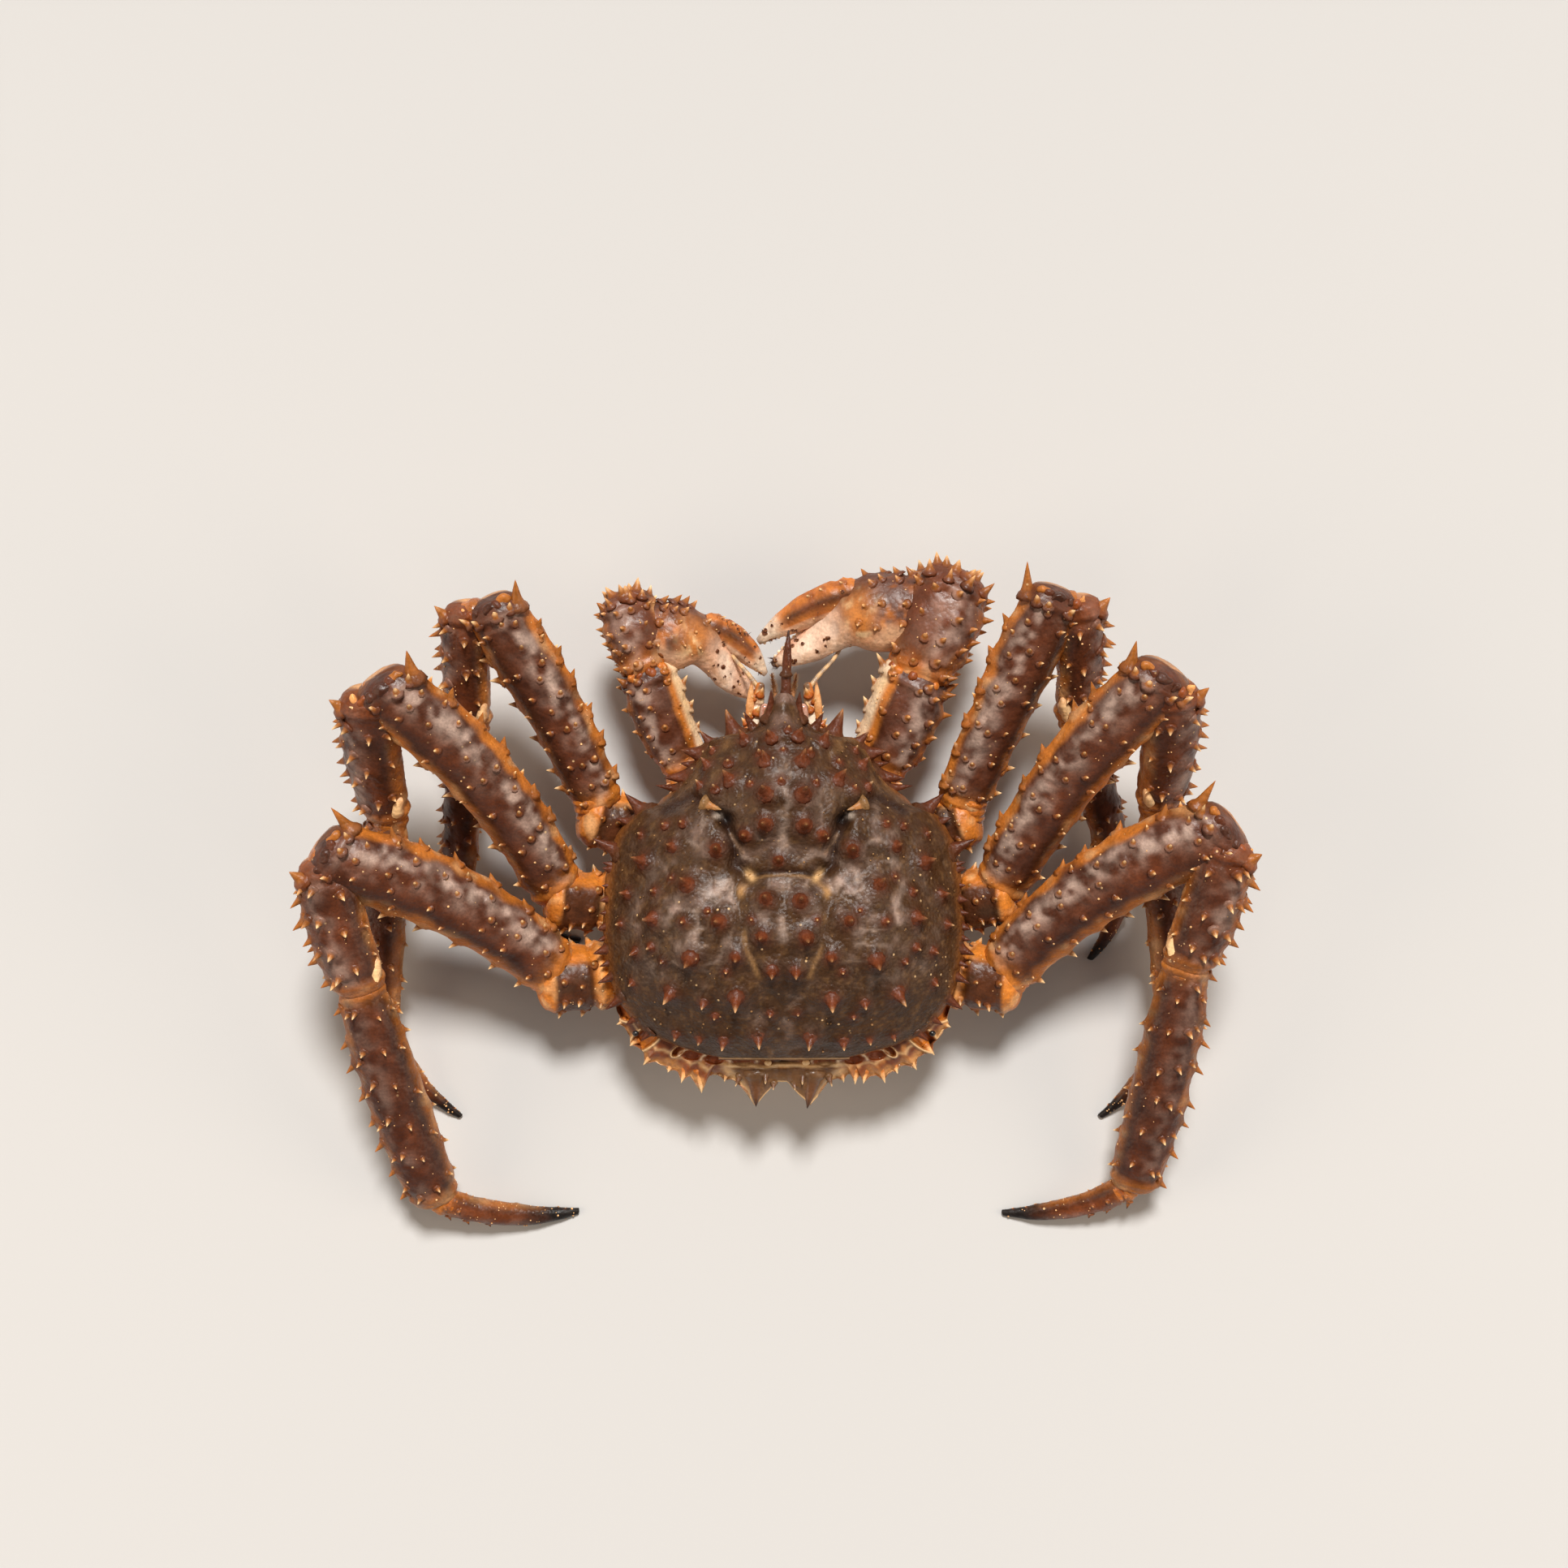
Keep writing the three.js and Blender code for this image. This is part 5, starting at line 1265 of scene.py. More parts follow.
def build_claw(side_name, claw, seed):
    big = side_name == "right"
    hip = Limb(claw["root"], claw["base"], FACE, claw["hip"], 0.85)
    merus = Limb(claw["base"], claw["elbow"], FACE, claw["merus"], 0.8, 2)
    carpus = Limb(claw["elbow"], claw["wrist"], FACE, claw["carpus"], 0.85)
    heel, front, fixed_tip, finger_root, finger_tip = (
        np.array(claw[k], float) for k in ("heel", "front", "fixed_tip", "finger_root", "finger_tip"))
    palm, knuckle = palm_sweep(claw, heel, front, fixed_tip, finger_root, big)
    finger = Limb(finger_root, finger_tip, fixed_tip, claw["finger"], 0.85, 3.2)
    build_claw_arm(side_name, {"hip": hip, "merus": merus, "carpus": carpus}, big, seed)
    build_palm(side_name, palm, knuckle, big, seed)
    build_finger(side_name, finger, big, seed)
    sleeve(f"skin_claw_{side_name}_merus", hip, merus, 0.42, 0.2, 70 + seed)
    sleeve(f"skin_claw_{side_name}_carpus", merus, carpus, 0.42, 0.4, 72 + seed)
    palm_root = Limb(heel, front, FACE, claw["palm"], 0.8)
    sleeve(f"skin_claw_{side_name}_palm", carpus, palm_root, 0.36, 0.4, 74 + seed)


for seed, (side_name, claw) in enumerate(CLAWS.items()):
    build_claw(side_name, claw, seed)


# Face: eyes on short stalks, feelers and outer mouthparts

FACE_INSIDE = (0, -60, 40)
WHIP_TIPS = {"left": (35, -127, 17), "right": (38, -140, 14)}
PEDUNCLE_ROWS = [
    (20, 0.15, 0.8, 4, 3.2, 2.6, 1.1, 0.9), (60, 0.2, 0.75, 3, 2.6, 2.4, 1.0, 0.8),
    (340, 0.2, 0.7, 3, 3, 2.6, 1.0, 0.8),
    (110, 0.6, 0.86, 2, 3.4, 4.2, 1.5, 1.5), (150, 0.64, 0.64, 1, 2.6, 2.6, 1.2, 1.4),
]
MOUTH_ROWS = [(30, 0.1, 0.6, 4, 2.6, 2, 1.1, 0.5), (330, 0.1, 0.6, 4, 2.6, 2, 1.1, 0.5)]


def on_side(sign, *points):
    """Points of the left side, or their mirror images."""
    return [np.array((sign * x, y, z), float) for x, y, z in points]


def shaft(sign, start, end, widths):
    start, end, inside = on_side(sign, start, end, FACE_INSIDE)
    return Limb(start, end, inside, widths, 0.9)


def build_eye(name, sign, seed):
    stalk = shaft(sign, (7.4, -70, 46), (8.4, -83.4, 52), (4.2, 4.2, 4.6, 5.6, 4.8))
    t, a, grid, _ = limb_skin(stalk, 0.4, 0.5)
    cornea = step(-0.1, 0.35, -np.sin(a) + 1.6 * (t - 0.78)) * step(0.5, 0.62, t)
    skin = Skin()
    skin.tube(grid, layered(
        PINK, (WHITE, 0.4 * cloud_of(grid, 2, seed)),
        (DARK_PINK, 0.6 * step(0.55, 0.8, cloud_of(grid, 0.9, seed + 3))), (BLACK, 0.96 * cornea)))
    skin.make(f"eye_stalk_{name}", eye_material, f"eye_{name}", "eye_black")


def add_peduncle(skin, sign, seed):
    """The stout spiny base of a feeler, in three rings."""
    peduncle = shaft(sign, (15, -68, 40), (10.5, -94, 46), (9, 8.2, 6.2, 3.8))
    t, a, grid, away = limb_skin(peduncle, 0.5, 0.4)
    rings = bell(t - 0.33, 0.025) + bell(t - 0.68, 0.025)
    grid = grid - away * (0.9 * rings)[..., None]
    outer = step(0.0, 0.7, np.cos(a) + 0.4 * noise(grid, 2.5, seed))
    far = mix(mix(CREAM, TAN, 0.4), mix(AMBER, BROWN, 0.45), step(0.4, 0.75, cloud_of(grid, 1.8, seed + 6)))
    skin.tube(grid, layered(
        mix(WHITE, CREAM, 0.1),
        (far, step(0.5, 0.85, t + 0.1 * noise(grid, 2.5, seed + 6))),
        (mix(BROWN, DARK_BROWN, 0.4), 0.85 * step(0.88, 0.97, t)),
        (mix(AMBER, ORANGE, cloud_of(grid, 3, seed)), outer * 0.95),
        (RUST, 0.6 * np.clip(rings, 0, 1))))
    skin.spines(*peduncle.placed(PEDUNCLE_ROWS)[:4], ORANGE, mix(AMBER, RED_BROWN, 0.3), CREAM)


def build_feeler(name, sign, seed):
    skin = Skin()
    add_peduncle(skin, sign, seed)
    plate = shaft(sign, (15.5, -79, 45), (14.4, -95.5, 47.5), (3.2, 3.8, 2.8, 0.8))
    t, _, grid, _ = limb_skin(plate, 0.5, 0.4)
    skin.tube(grid, layered(
        mix(AMBER, ORANGE, 0.35),
        (CREAM, 0.15 + 0.4 * step(0.1, 0.5, t) * cloud_of(grid, 2, seed + 8)),
        (mix(BROWN, RED_BROWN, 0.5), 0.8 * step(0.86, 1.0, t))))
    inside, end, *path = on_side(
        sign, FACE_INSIDE, WHIP_TIPS[name], (10.5, -92, 46), (15, -98, 44), (24, -109, 38))
    path += [(path[-1] + end) / 2, end]
    widths = [2.4, 1.9, 1.6, 1.1, 0.6]
    whip = Sweep(path, [0, 0.14, 0.42, 0.66, 1], inside, widths, [0, 0.2, 0.5, 0.8, 1], 1.0)
    t, a = round_grid(150, 10)
    beaded = 1 + 0.1 * np.cos(t * 2 * math.pi * 48)
    skin.tube(whip.surface(t, a, beaded), mix(mix(CREAM, TAN, 0.5), GREY, 0.4 + 0.3 * np.cos(t * 60)))
    skin.make(f"feeler_{name}", feeler_material, f"antenna_{name}", "feeler_cream")


def build_small_feeler(name, sign):
    skin = Skin()
    inside, *path = on_side(
        sign, FACE_INSIDE, (3.5, -70, 44), (3.4, -80, 43.6), (4, -90, 44.4), (5.5, -99, 51))
    stem = Sweep(path, THIRDS, inside, [4.2, 3.2, 2.2, 1.5, 0.6], [0, 0.3, 0.6, 0.8, 1], 1.0)
    t, a = round_grid(60, 14)
    knees = 1 - 0.22 * (bell(t - 0.3, 0.02) + bell(t - 0.62, 0.02))
    tone = mix(mix(ORANGE, CREAM, 0.4), mix(RED_BROWN, BROWN, 0.5), step(0.55, 0.9, t))
    skin.tube(stem.surface(t, a, knees), tone)
    t = np.repeat(np.linspace(0.68, 0.98, 22), 5)
    root = stem.surface(t, rng.random(len(t)) * 2 * math.pi)
    hair = unit(stem.from_middle(root, t) + stem.axis * 0.9)
    dark = mix(RED_BROWN, TAN, 0.4)
    skin.spines(root, hair, 2.4 - 1.2 * t, np.full(len(t), 0.12), dark, dark, TAN)
    skin.make(f"small_feeler_{name}", feeler_material, f"antennule_{name}", "feeler_cream")


def build_mouthpart(name, sign, seed):
    skin = Skin()
    inside, *path = on_side(sign, FACE_INSIDE, (14, -48, 22), (13, -62, 24.5), (12, -76, 26), (5, -86, 15))
    mouth = Sweep(path, THIRDS, inside, [13, 12.5, 11, 8.5, 4.2], [0, 0.3, 0.6, 0.8, 1], 0.9)
    t, _, grid, away = limb_skin(mouth, 0.8, 0.3)
    joints = bell(t - 0.36, 0.02) + bell(t - 0.64, 0.02) + bell(t - 0.84, 0.02)
    grid = grid - away * (1.1 * joints)[..., None]
    skin.tube(grid, mix(mix(CREAM, AMBER, 0.5), ORANGE, 0.5 + 0.5 * noise(grid, 4, seed + 8)))
    t = np.repeat(np.linspace(0.3, 0.97, 30), 9)
    root = mouth.surface(t, math.pi * (0.75 + 0.6 * rng.random(len(t))))
    hair = unit(mouth.from_middle(root, t) + mouth.axis * 0.5 + rng.normal(size=(len(t), 3)) * 0.2)
    lengths, radii = 2.5 + 2 * rng.random(len(t)), np.full(len(t), 0.14)
    skin.spines(root, hair, lengths, radii, TAN, TAN, mix(AMBER, BROWN, 0.4))
    skin.spines(*mouth.placed(MOUTH_ROWS)[:4], ORANGE, AMBER, CREAM)
    skin.make(f"mouthpart_{name}", pale_material, f"maxilliped_{name}", "underside")


for seed, (side_name, sign) in enumerate((("left", 1), ("right", -1))):
    build_eye(side_name, sign, seed)
    build_feeler(side_name, sign, seed)
    build_small_feeler(side_name, sign)
    build_mouthpart(side_name, sign, seed)


# Underside: breastplate with its seams, and the flap folded under it

THORAX_Y = [-56, -50, -38, -20, 0, 20, 40, 54, 62]
THORAX_HALF = [16, 27, 38, 48, 54, 53, 46, 36, 24]
THORAX_LOW = [20, 14, 10, 8.3, 8.3, 8.3, 8.3, 8.3, 12]
THORAX_TOP = 36
THORAX_BEADS = 260
SEAMS = [-42, -24, -6, 13, 32, 50]
FLAP_Y = [-44, -41, -34, -20, 0, 20, 40, 55, 61]
FLAP_HALF = [5, 10, 17, 23, 28, 32, 34, 34, 31]
FLAP_LINES = [-34, -20, -4, 13, 31, 48]
FLAP_BEADS = 220


def build_breastplate():
    y = np.linspace(THORAX_Y[0], THORAX_Y[-1], 130)[:, None]
    half, low = curve(THORAX_Y, THORAX_HALF, y), curve(THORAX_Y, THORAX_LOW, y)
    a = (np.arange(120) * 2 * math.pi / 120)[None]
    side, lift = squarish(a, 0.55, 0.45)
    middle = (low + THORAX_TOP) / 2
    x = side * half * (1 - 0.12 * (lift < 0) * lift**2)
    grid = np.stack([x, y + 0 * a, middle + lift * (THORAX_TOP - low) / 2], -1)
    seam = sum(bell(grid[..., 1] - at_y - 0.12 * np.abs(grid[..., 0]), 1.1) for at_y in SEAMS)
    seam = seam + bell(grid[..., 0], 1.2) * (np.sin(a) < -0.3)
    away = unit(grid - np.stack([0 * middle, y, middle], -1))
    grid = grid + away * (0.5 * noise(grid, 8, 60) - 1.3 * seam)[..., None]
    tone = mix(mix(CREAM, AMBER, 0.3), ORANGE, 0.35 + 0.35 * noise(grid, 15, 61))
    skin = Skin()
    skin.tube(grid, mix(tone, RUST_LIGHT, 0.7 * np.clip(seam, 0, 1)))
    i, j = rng.integers(6, 124, THORAX_BEADS), rng.integers(62, 118, THORAX_BEADS)
    size = 0.35 + 0.4 * rng.random(THORAX_BEADS)
    skin.beads(grid[i, j], away[i, j], size, mix(AMBER, CREAM, 0.4), CREAM)
    skin.make("breastplate", pale_material, "thorax", "underside")


def build_flap():
    y = np.linspace(FLAP_Y[0], FLAP_Y[-1], 150)[:, None]
    half = curve(FLAP_Y, FLAP_HALF, y)
    k = np.linspace(-1, 1, 91)[None]
    back = k[:, ::-1]
    under = np.stack([k * half, y + 0 * k, 0.9 + 2.6 * np.abs(k) ** 5 + 0 * y], -1)
    over = np.stack([back * half * 0.9, y + 0 * k, 8 - 1.4 * np.abs(back) ** 4 + 0 * y], -1)
    x, ys = under[..., 0], under[..., 1]
    seam = sum(bell(ys - at_y - 0.0018 * x**2, 0.9) for at_y in FLAP_LINES)
    seam = np.clip(seam + bell(np.abs(x) - 0.46 * half, 0.8) * step(-30, -20, ys), 0, 1)
    lump = 0.7 * cloud_of(under, 6, 63) * (1 - np.abs(k) ** 6)
    under[..., 2] = np.maximum(under[..., 2] + 1.2 * seam - lump + 0.4, 0.25)
    grid = np.concatenate([under, over], axis=1)
    tone = mix(mix(CREAM, AMBER, 0.25), mix(ORANGE, BROWN, 0.3), 0.35 + 0.35 * noise(grid, 9, 64))
    shade = np.concatenate([seam, np.zeros(over.shape[:2])], axis=1)
    skin = Skin()
    skin.tube(grid, mix(tone, RUST, 0.75 * shade))
    i, j = rng.integers(6, 144, FLAP_BEADS), rng.integers(6, 84, FLAP_BEADS)
    down = np.tile((0.0, 0.0, -1.0), (FLAP_BEADS, 1))
    skin.beads(grid[i, j] + (0, 0, 0.1), down, 0.3 + 0.3 * rng.random(FLAP_BEADS), AMBER, CREAM, height=0.6)
    skin.make("tail_flap", pale_material, "abdomen_flap", "underside")


build_breastplate()
build_flap()


# Tail plates behind the carapace: arches, windows of skin, the spined middle plate and the teeth

TAIL_OUTER = [
    (76, 46), (72, 57), (66, 66), (58, 73), (49, 77.5), (40, 80), (30, 79.4), (20, 82), (8, 83),
]
TAIL_INNER = [
    (70, 46), (65, 54), (59, 60), (51, 64), (42, 67.5), (34, 69.3), (25, 70.4), (15, 70.8), (6, 70.8),
]
# Levels of the wall below the edge: height, share of the width, and how far it lies forward
TAIL_LEVELS = [
    (42, 1, 0), (38, 1, -0.2), (30, 0.97, -0.6), (20, 0.86, -1.5), (10, 0.68, -4), (3.4, 0.5, -10),
]
# Flat teeth round the edge: x, width along the edge and length outwards
TAIL_TEETH = [
    (12.6, 20, 10.5), (-11, 20, 10.5), (37.5, 9, 7.4), (44.5, 6, 4), (60, 7, 4.5), (51, 5, 1.6),
    (67, 7, 2.4), (26, 6, 2),
    (72.5, 5, 2), (-26, 5, 2.5), (-32, 5, 4), (-36, 5, 3.4), (-44, 6, 3.6), (-57, 7, 4), (-64.5, 6, 3.6),
    (-72, 5, 2.4),
    (-50, 4, 1.6),
]
# Windows of glossy skin: centre and half sizes, then the arches: x along the rear edge
WINDOWS = [(61.5, 62.8, 8.2, 3.6), (70.5, 51.5, 3.4, 4.6), (47, 68.6, 3.2, 1.6)]
ARCHES = [41, 31, 18]
ARCH_X, ARCH_Y = [0, 15, 31, 41, 52], [70.8, 71.0, 69.8, 68.0, 63.8]
# The spined plate in the middle: half width at a few places
PLATE_Y, PLATE_HALF = [75, 77, 82, 86, 95], [28, 26, 21, 17.5, 13]
WALL_FOLDS = [(25, 1.2), (36, 1.1), (14, 1.2)]
WALL_SEAMS = (9, 31, 52)
WALL_SPINES = 40


def round_the_back(points, middle):
    """Smooth line from the left end round the back to the right end."""
    whole = np.array(points + [middle] + [(-x, y) for x, y in reversed(points)], float)
    index = np.linspace(0, len(whole) - 1, 521)
    return np.stack([curve(np.arange(len(whole)), whole[:, k], index) for k in range(2)], -1)


def tail_edge(outer, inner):
    """The outer line with its teeth, and the directions outwards."""
    ahead = unit(np.gradient(outer, axis=0))
    outward = np.stack([-ahead[:, 1], ahead[:, 0]], -1)
    outward = outward * np.sign(np.sum(outward * (outer - inner), -1, keepdims=True))
    outset = np.zeros(len(outer))
    run = np.concatenate([[0], np.cumsum(np.linalg.norm(np.diff(outer, axis=0), axis=1))])
    for x, breadth, length in TAIL_TEETH:
        near = np.abs(run - run[np.argmin(np.abs(outer[:, 0] - x))])
        outset = np.maximum(outset, length * np.clip(1 - near / (breadth / 2), 0, 1) ** 1.25)
    outset = outset + 0.5 * flat_noise(outer[:, 0], outer[:, 1], 2.5, 79)
    return outer + outward * outset[:, None], outward


def add_windows(side, y, z, colour, fine):
    """Glossy windows and arches with a rim that frames each."""
    for cx, cy, rx, ry in WINDOWS:
        turn = math.radians(-38 if cx < 70 else -70)
        dx, dy = (side - cx), (y - cy)
        u1, u2 = dx * math.cos(turn) - dy * math.sin(turn), dx * math.sin(turn) + dy * math.cos(turn)
        far = np.hypot(u1 / rx, u2 / ry)
        z = z - 3.0 * step(1.12, 0.7, far) + 1.3 * bell(far - 1.25, 0.16)
        glow = mix(mix(ORANGE, BROWN, 0.5), AMBER, 0.5 + 0.5 * np.tanh(u2))
        colour = layered(colour, (glow, step(1.1, 0.95, far)), (CREAM, 0.8 * bell(far - 1.25, 0.14)))
    for cx in ARCHES:
        cy = np.interp(cx, ARCH_X, ARCH_Y) + 2.6
        far = np.hypot((side - cx) / 5.0, (y - cy) / 2.5)
        z = z - 2.0 * step(1.0, 0.55, far) + 1.3 * bell(far - 1.2, 0.16) * step(cy + 1.2, cy - 0.6, y)
        colour = layered(
            colour,
            (mix(RED_BROWN, ORANGE, 0.3 + 0.4 * fine), step(1.05, 0.8, far)),
            (mix(WHITE, CREAM, 0.5), 0.8 * bell(far - 1.2, 0.13) * step(cy + 1.0, cy - 0.4, y)))
    return z, colour


def tail_top(inner, edge):
    """Upper side from the shell's rear edge to the teeth, with its colours."""
    w = np.linspace(0, 1, 44)[None, :, None]
    flat = inner[:, None] * (1 - w) + edge[:, None] * w
    x, y = flat[..., 0], flat[..., 1]
    w = w[..., 0]
    side = np.abs(x)
    z = 47.6 - 6.6 * w**1.4 + 0.5 * flat_noise(x, y, 5, 80) + 0.25 * flat_noise(x, y, 2, 81)
    wash, fine = flat_noise(x, y, 8, 82) * 0.5 + 0.5, flat_noise(x, y, 3, 83) * 0.5 + 0.5
    colour = layered(
        mix(ORANGE, BROWN, 0.4 + 0.55 * wash),
        (mix(AMBER, TAN, 0.4), 0.5 * step(0.4, 0.8, fine)),
        (mix(TAN, AMBER, 0.3 * wash), 0.75 * step(0.55, 1.0, w + 0.3 * (fine - 0.5))),
        (mix(CREAM, TAN, 0.4), 0.5 * bell(w - 0.42, 0.07)))
    z, colour = add_windows(side, y, z, colour, fine)

    # Slit in the middle, painted black as shade, the cream band behind it and the spined plate
    slit = bell(side / 7.6, 0.9) ** 2 * bell(y - 72.6, 1.5)
    band = bell(y - 75.2 - 0.9 * flat_noise(x, 0 * x, 7, 90), 1.0) * step(30, 24, side)
    flank = np.interp(y, PLATE_Y, PLATE_HALF)
    behind = step(75.6, 77, y)
    plate = step(1.0, 0.85, side / flank) * behind
    rim = bell(side / flank - 0.98, 0.1) * behind
    z = z - 1.8 * slit + 1.0 * band + 1.4 * plate * (1 - 0.5 * (side / 24) ** 2)
    colour = layered(
        colour,
        (BLACK, 0.85 * np.clip(slit * 1.5, 0, 1)),
        (CREAM, 0.85 * band),
        (mix(mix(OLIVE, TAN, 0.22), BROWN, 0.15 + 0.35 * wash), 0.95 * plate * step(1.0, 0.93, w)),
        (mix(CREAM, TAN, 0.3), 0.8 * step(0.93, 0.99, w) * step(95, 91, y)),
        (mix(CREAM, TAN, 0.45), 0.8 * rim))
    return np.stack([x, y, z], -1), colour


def tail_wall(outer, edge, outward):
    """Folded and seamed wall under the edge, with its colours."""
    rings = []
    for level, (height, scale, forward) in enumerate(TAIL_LEVELS):
        line = outer - outward if level else outer + (edge - outer) * 0.8
        heights = np.full(len(line), float(height))
        rings.append(np.stack([line[:, 0] * scale, line[:, 1] + forward, heights], -1))
    rings = np.array(rings).transpose(1, 0, 2)
    s = np.linspace(0, len(TAIL_LEVELS) - 1, 40)
    low = np.clip(np.floor(s).astype(int), 0, len(TAIL_LEVELS) - 2)
    part = (s - low)[None, :, None]
    wall = rings[:, low] * (1 - part) + rings[:, low + 1] * part
    bent = wall[..., 2] + 1.6 * flat_noise(wall[..., 0], wall[..., 1], 14, 84) + 0.05 * np.abs(wall[..., 0])
    folds = sum(bell((bent - height) / breadth, 1) for height, breadth in WALL_FOLDS)
    for seam_x in WALL_SEAMS:
        folds = folds + bell((np.abs(wall[..., 0]) - seam_x - 0.1 * (40 - wall[..., 2])) / 1.1, 1)
    folds = np.clip(folds, 0, 1)
    lean = np.concatenate([outward, np.zeros((len(outward), 1))], -1)[:, None]
    wall = wall + lean * (0.9 * noise(wall, 6, 85) + 0.3 * noise(wall, 2.5, 88) - 1.8 * folds)[..., None]
    shade = layered(
        mix(CREAM, AMBER, 0.35),
        (mix(ORANGE, BROWN, 0.4), 0.25 + 0.6 * cloud_of(wall, 7, 86)),
        (RUST, 0.7 * step(24, 40, wall[..., 2]) * (1 - 0.5 * folds)),
        (RUST, 0.7 * folds))
    return wall, shade


def add_plate_spines(skin, top):
    """The two great spines of the middle plate with small ones beside them, and the knobs near the slit."""
    def on_top(x, y):
        return top.reshape(-1, 3)[np.argmin(np.hypot(top[..., 0] - x, top[..., 1] - y))]

    tone = mix(mix(OLIVE, TAN, 0.2), BROWN, 0.3)
    for way in (1, -1):
        tip = (12.4, 94.4, 43.4) if way > 0 else (-10.8, 94.2, 43.4)
        roots = [
            (way * 12.6, 80.5, 42.6), (way * 8.3, 79.5, 45.2),
            (way * 4.6, 83.5, 43.5), (way * 20, 80.5, 43.5),
        ]
        tips = [tip, (way * 8.2, 83.4, 48.2), (way * 4.8, 86.2, 45.5), (way * 21.5, 84.5, 45.6)]
        skin.spines_between(roots, tips, np.array([4.2, 1.7, 1.2, 1.4]), tone, mix(tone, RED_BROWN, 0.4),
                            np.array([BLACK, CREAM, CREAM, CREAM]), reach=0.84)
        knob, bead = on_top(way * 8.5 - 1.2, 73.6) + (0, 0, 0.9), on_top(way * 66, 60.6) + (0, 0, 0.8)
        skin.pebble(knob, np.eye(3), (1.7, 1.4, 1.5), CREAM, rough=0.2, seed=87)
        skin.pebble(bead, np.eye(3), (1.5, 1.3, 1.2), BLACK)


def add_edge_spines(skin, outer, outward):
    roots, tips = [], []
    for x, _, length in TAIL_TEETH[2:]:
        k = int(np.argmin(np.abs(outer[:, 0] - x)))
        start = np.append(outer[k] - outward[k] * 1.2, 41.3)
        roots.append(start)
        tips.append(start + np.append(outward[k] * (length + 1.6), 1.2))
    lengths = np.linalg.norm(np.array(tips) - np.array(roots), axis=1)
    skin.spines_between(roots, tips, 0.7 + 0.16 * lengths, mix(ORANGE, AMBER, 0.5), mix(AMBER, CREAM, 0.4),
                        mix(CREAM, BROWN, 0.2))


def build_tail():
    outer = round_the_back(TAIL_OUTER, (0, 82.4))
    inner = round_the_back(TAIL_INNER, (0, 70.8))
    edge, outward = tail_edge(outer, inner)
    top, colour = tail_top(inner, edge)
    wall, wall_shade = tail_wall(outer, edge, outward)
    inside_x = wall[:, -1:, 0] * np.array([[0.7, 0.5, 0.5, 0.5]])
    inside_z = np.broadcast_to(np.array([[4.0, 8.0, 30.0, 44.0]]), inside_x.shape)
    inside = np.stack([inside_x, np.full_like(inside_x, 52.0), inside_z], -1)
    grid = np.concatenate([top, wall, inside], axis=1)
    skin = Skin()
    skin.tube(grid, np.concatenate([colour, wall_shade, np.broadcast_to(BROWN, inside.shape)], axis=1))
    add_plate_spines(skin, top)
    add_edge_spines(skin, outer, outward)
    spot = grid[rng.integers(90, 430, WALL_SPINES), rng.integers(60, 82, WALL_SPINES)]
    lengths, radii = 2 + 2 * rng.random(WALL_SPINES), 1.0 + 0.4 * rng.random(WALL_SPINES)
    skin.spines(spot, unit(spot - np.array([0, 50, 20])), lengths, radii, ORANGE, AMBER, CREAM)
    skin.make("tail_plates", pale_material, "abdomen_plates", "underside")


build_tail()


# Floor, light and camera

REACH = 30.0
FLOOR_GREY = (0.5, 0.495, 0.49, 1)
SUN_POWER = 4.3
SUN_SPREAD = 14
SUN_WAY = (0.06, 0.62, -1.0)
SUN_COLOUR = (1.0, 0.975, 0.94)
LAMP_PLACES = {"side": (1.7, 0.3, 1.1), "rim": (-1.7, 0.3, 1.1)}
LAMP_AIM = (0, 0, 0.05)
LAMP_SIZE = 1.2
LAMP_POWER = 13
LAMP_COLOUR = (1.0, 0.8, 0.6)
SKY_COLOUR = (1.0, 0.985, 0.965, 1)


def lay_floor():
    mesh = bpy.data.meshes.new("floor")
    corners = [(-REACH, -REACH, 0), (REACH, -REACH, 0), (REACH, REACH, 0), (-REACH, REACH, 0)]
    mesh.from_pydata(corners, [], [(0, 1, 2, 3)])
    floor = bpy.data.objects.new("floor", mesh)
    bpy.context.scene.collection.objects.link(floor)
    material = bpy.data.materials.new("floor")
    material.use_nodes = True
    surface = material.node_tree.nodes["Principled BSDF"]
    surface.inputs["Base Color"].default_value = FLOOR_GREY
    surface.inputs["Roughness"].default_value = 0.9
    mesh.materials.append(material)


def light(name, kind, power, colour, way):
    data = bpy.data.lights.new(name, kind)
    data.energy = power
    data.color = colour
    lamp = bpy.data.objects.new(name, data)
    lamp.rotation_mode = "QUATERNION"
    lamp.rotation_quaternion = Vector(way).to_track_quat("-Z", "Y")
    bpy.context.scene.collection.objects.link(lamp)
    return lamp


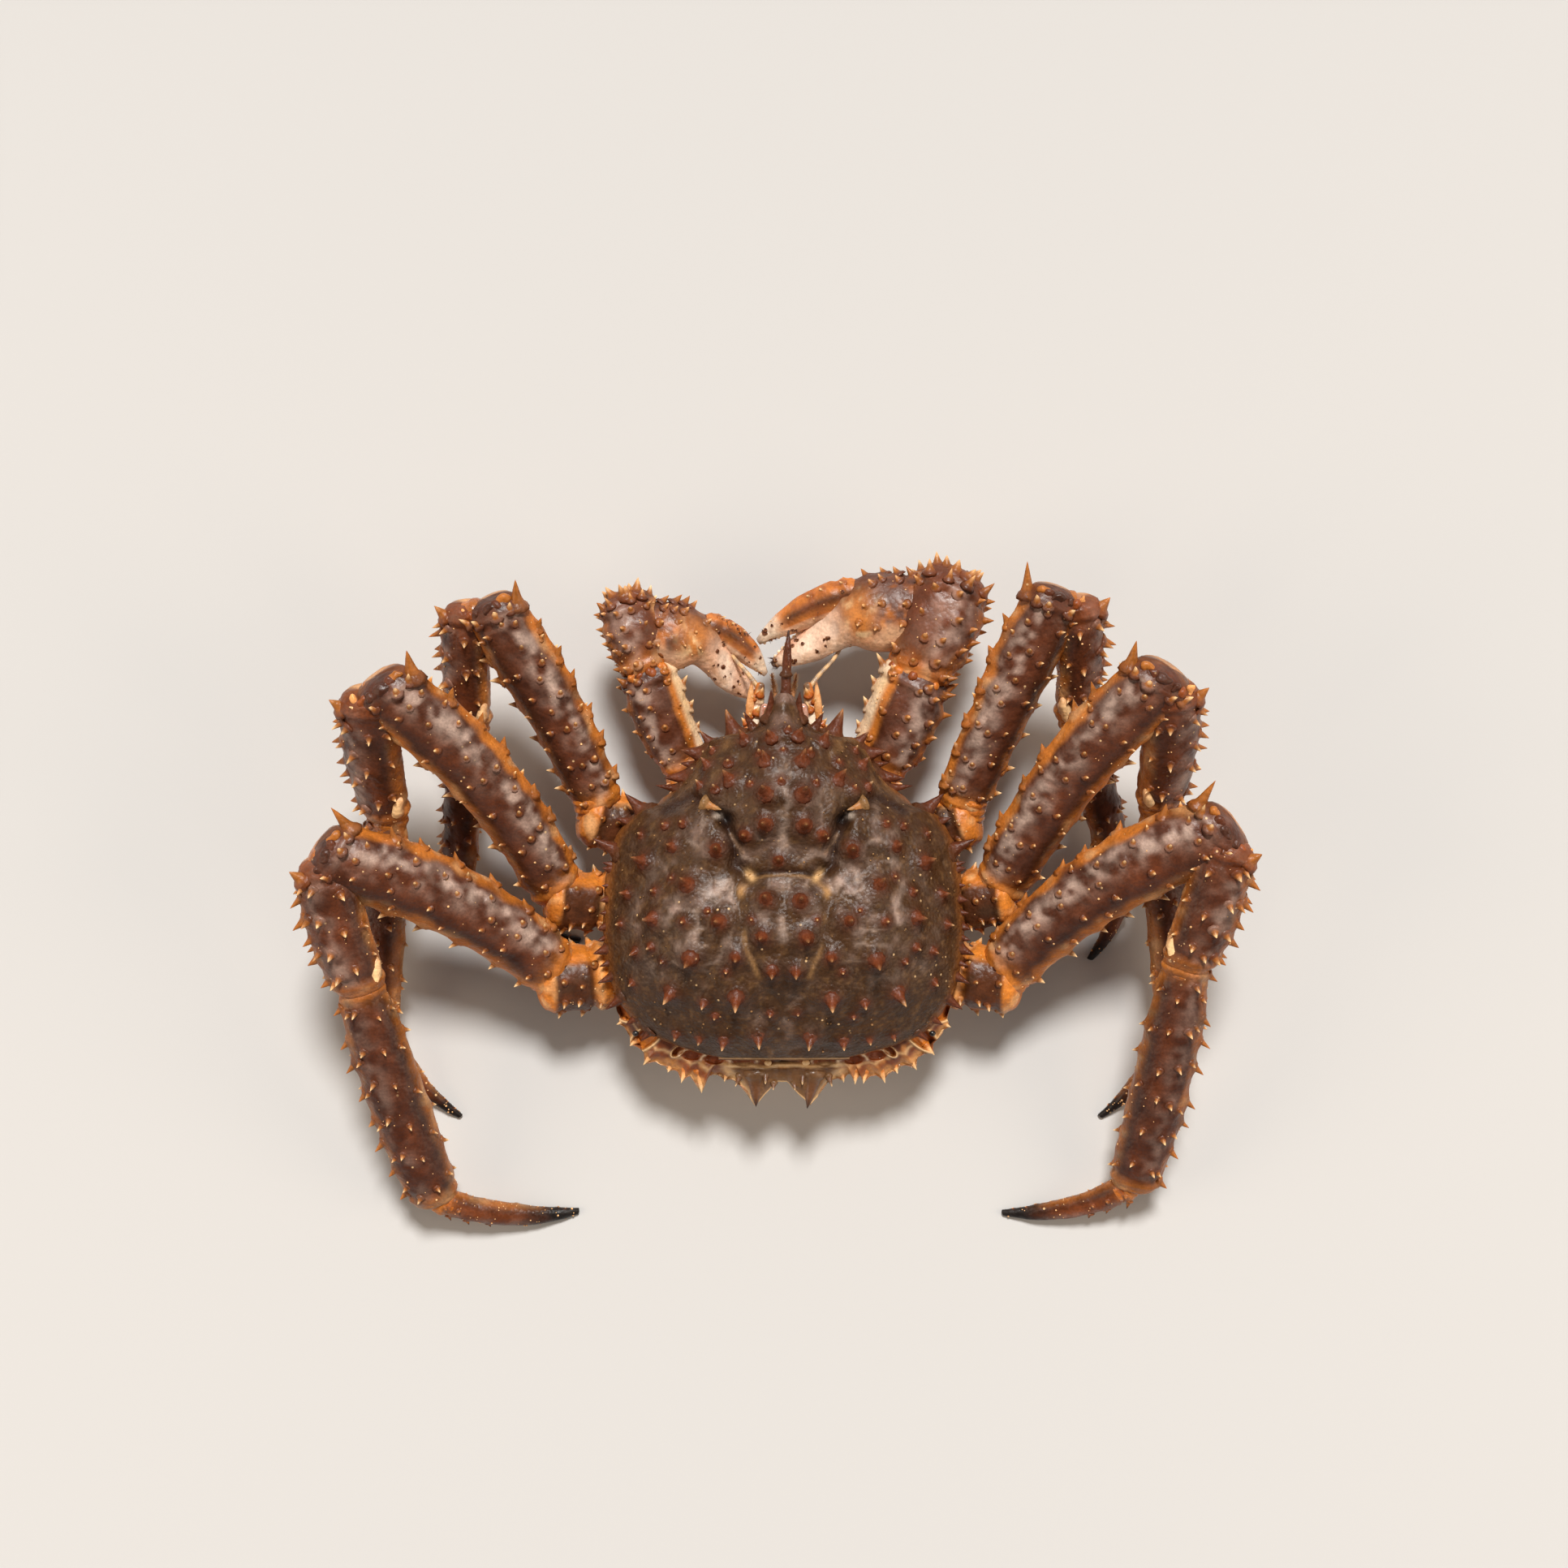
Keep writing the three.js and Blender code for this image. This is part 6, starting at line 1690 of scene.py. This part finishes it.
def hang_lights():
    sun = light("sun", "SUN", SUN_POWER, SUN_COLOUR, SUN_WAY)
    sun.data.angle = math.radians(SUN_SPREAD)
    for name, place in LAMP_PLACES.items():
        lamp = light(name, "AREA", LAMP_POWER, LAMP_COLOUR, Vector(LAMP_AIM) - Vector(place))
        lamp.data.shape = "DISK"
        lamp.data.size = LAMP_SIZE
        lamp.location = place


def make_sky():
    """Even pale sky, brighter at the horizon than overhead."""
    world = bpy.data.worlds.new("world")
    world.use_nodes = True
    nodes, links = world.node_tree.nodes, world.node_tree.links
    backdrop = nodes["Background"]
    backdrop.inputs["Color"].default_value = SKY_COLOUR
    direction = nodes.new("ShaderNodeTexCoord")
    height = nodes.new("ShaderNodeSeparateXYZ")
    fade = nodes.new("ShaderNodeMapRange")
    fade.interpolation_type = "SMOOTHSTEP"
    fade.inputs["From Min"].default_value = 0.0
    fade.inputs["From Max"].default_value = 0.55
    fade.inputs["To Min"].default_value = 0.68
    fade.inputs["To Max"].default_value = 0.17
    links.new(direction.outputs["Generated"], height.inputs["Vector"])
    links.new(height.outputs["Z"], fade.inputs["Value"])
    links.new(fade.outputs["Result"], backdrop.inputs["Strength"])
    bpy.context.scene.world = world
    bpy.context.scene.view_settings.view_transform = "Standard"


# The photograph: its size, the size of a pixel, the camera's height over that plane, and the axis in it
IMAGE = 1932
PIXEL = 0.36
RISE = 1300
LEVEL = 50
AXIS_BELOW_MIDDLE = 1105 - IMAGE / 2


def set_camera():
    """A camera that looks straight down, framed as in the photograph."""
    data = bpy.data.cameras.new("camera")
    data.sensor_width = 36
    data.lens = data.sensor_width * RISE / (IMAGE * PIXEL)
    data.shift_y = AXIS_BELOW_MIDDLE / IMAGE
    data.clip_start = 0.01
    data.clip_end = 50
    camera = bpy.data.objects.new("camera", data)
    camera.location = (0, 0, (RISE + LEVEL) * MM)
    camera.rotation_euler = (0, 0, math.pi)
    bpy.context.scene.collection.objects.link(camera)
    bpy.context.scene.camera = camera


lay_floor()
hang_lights()
make_sky()
set_camera()

bpy.context.view_layer.update()
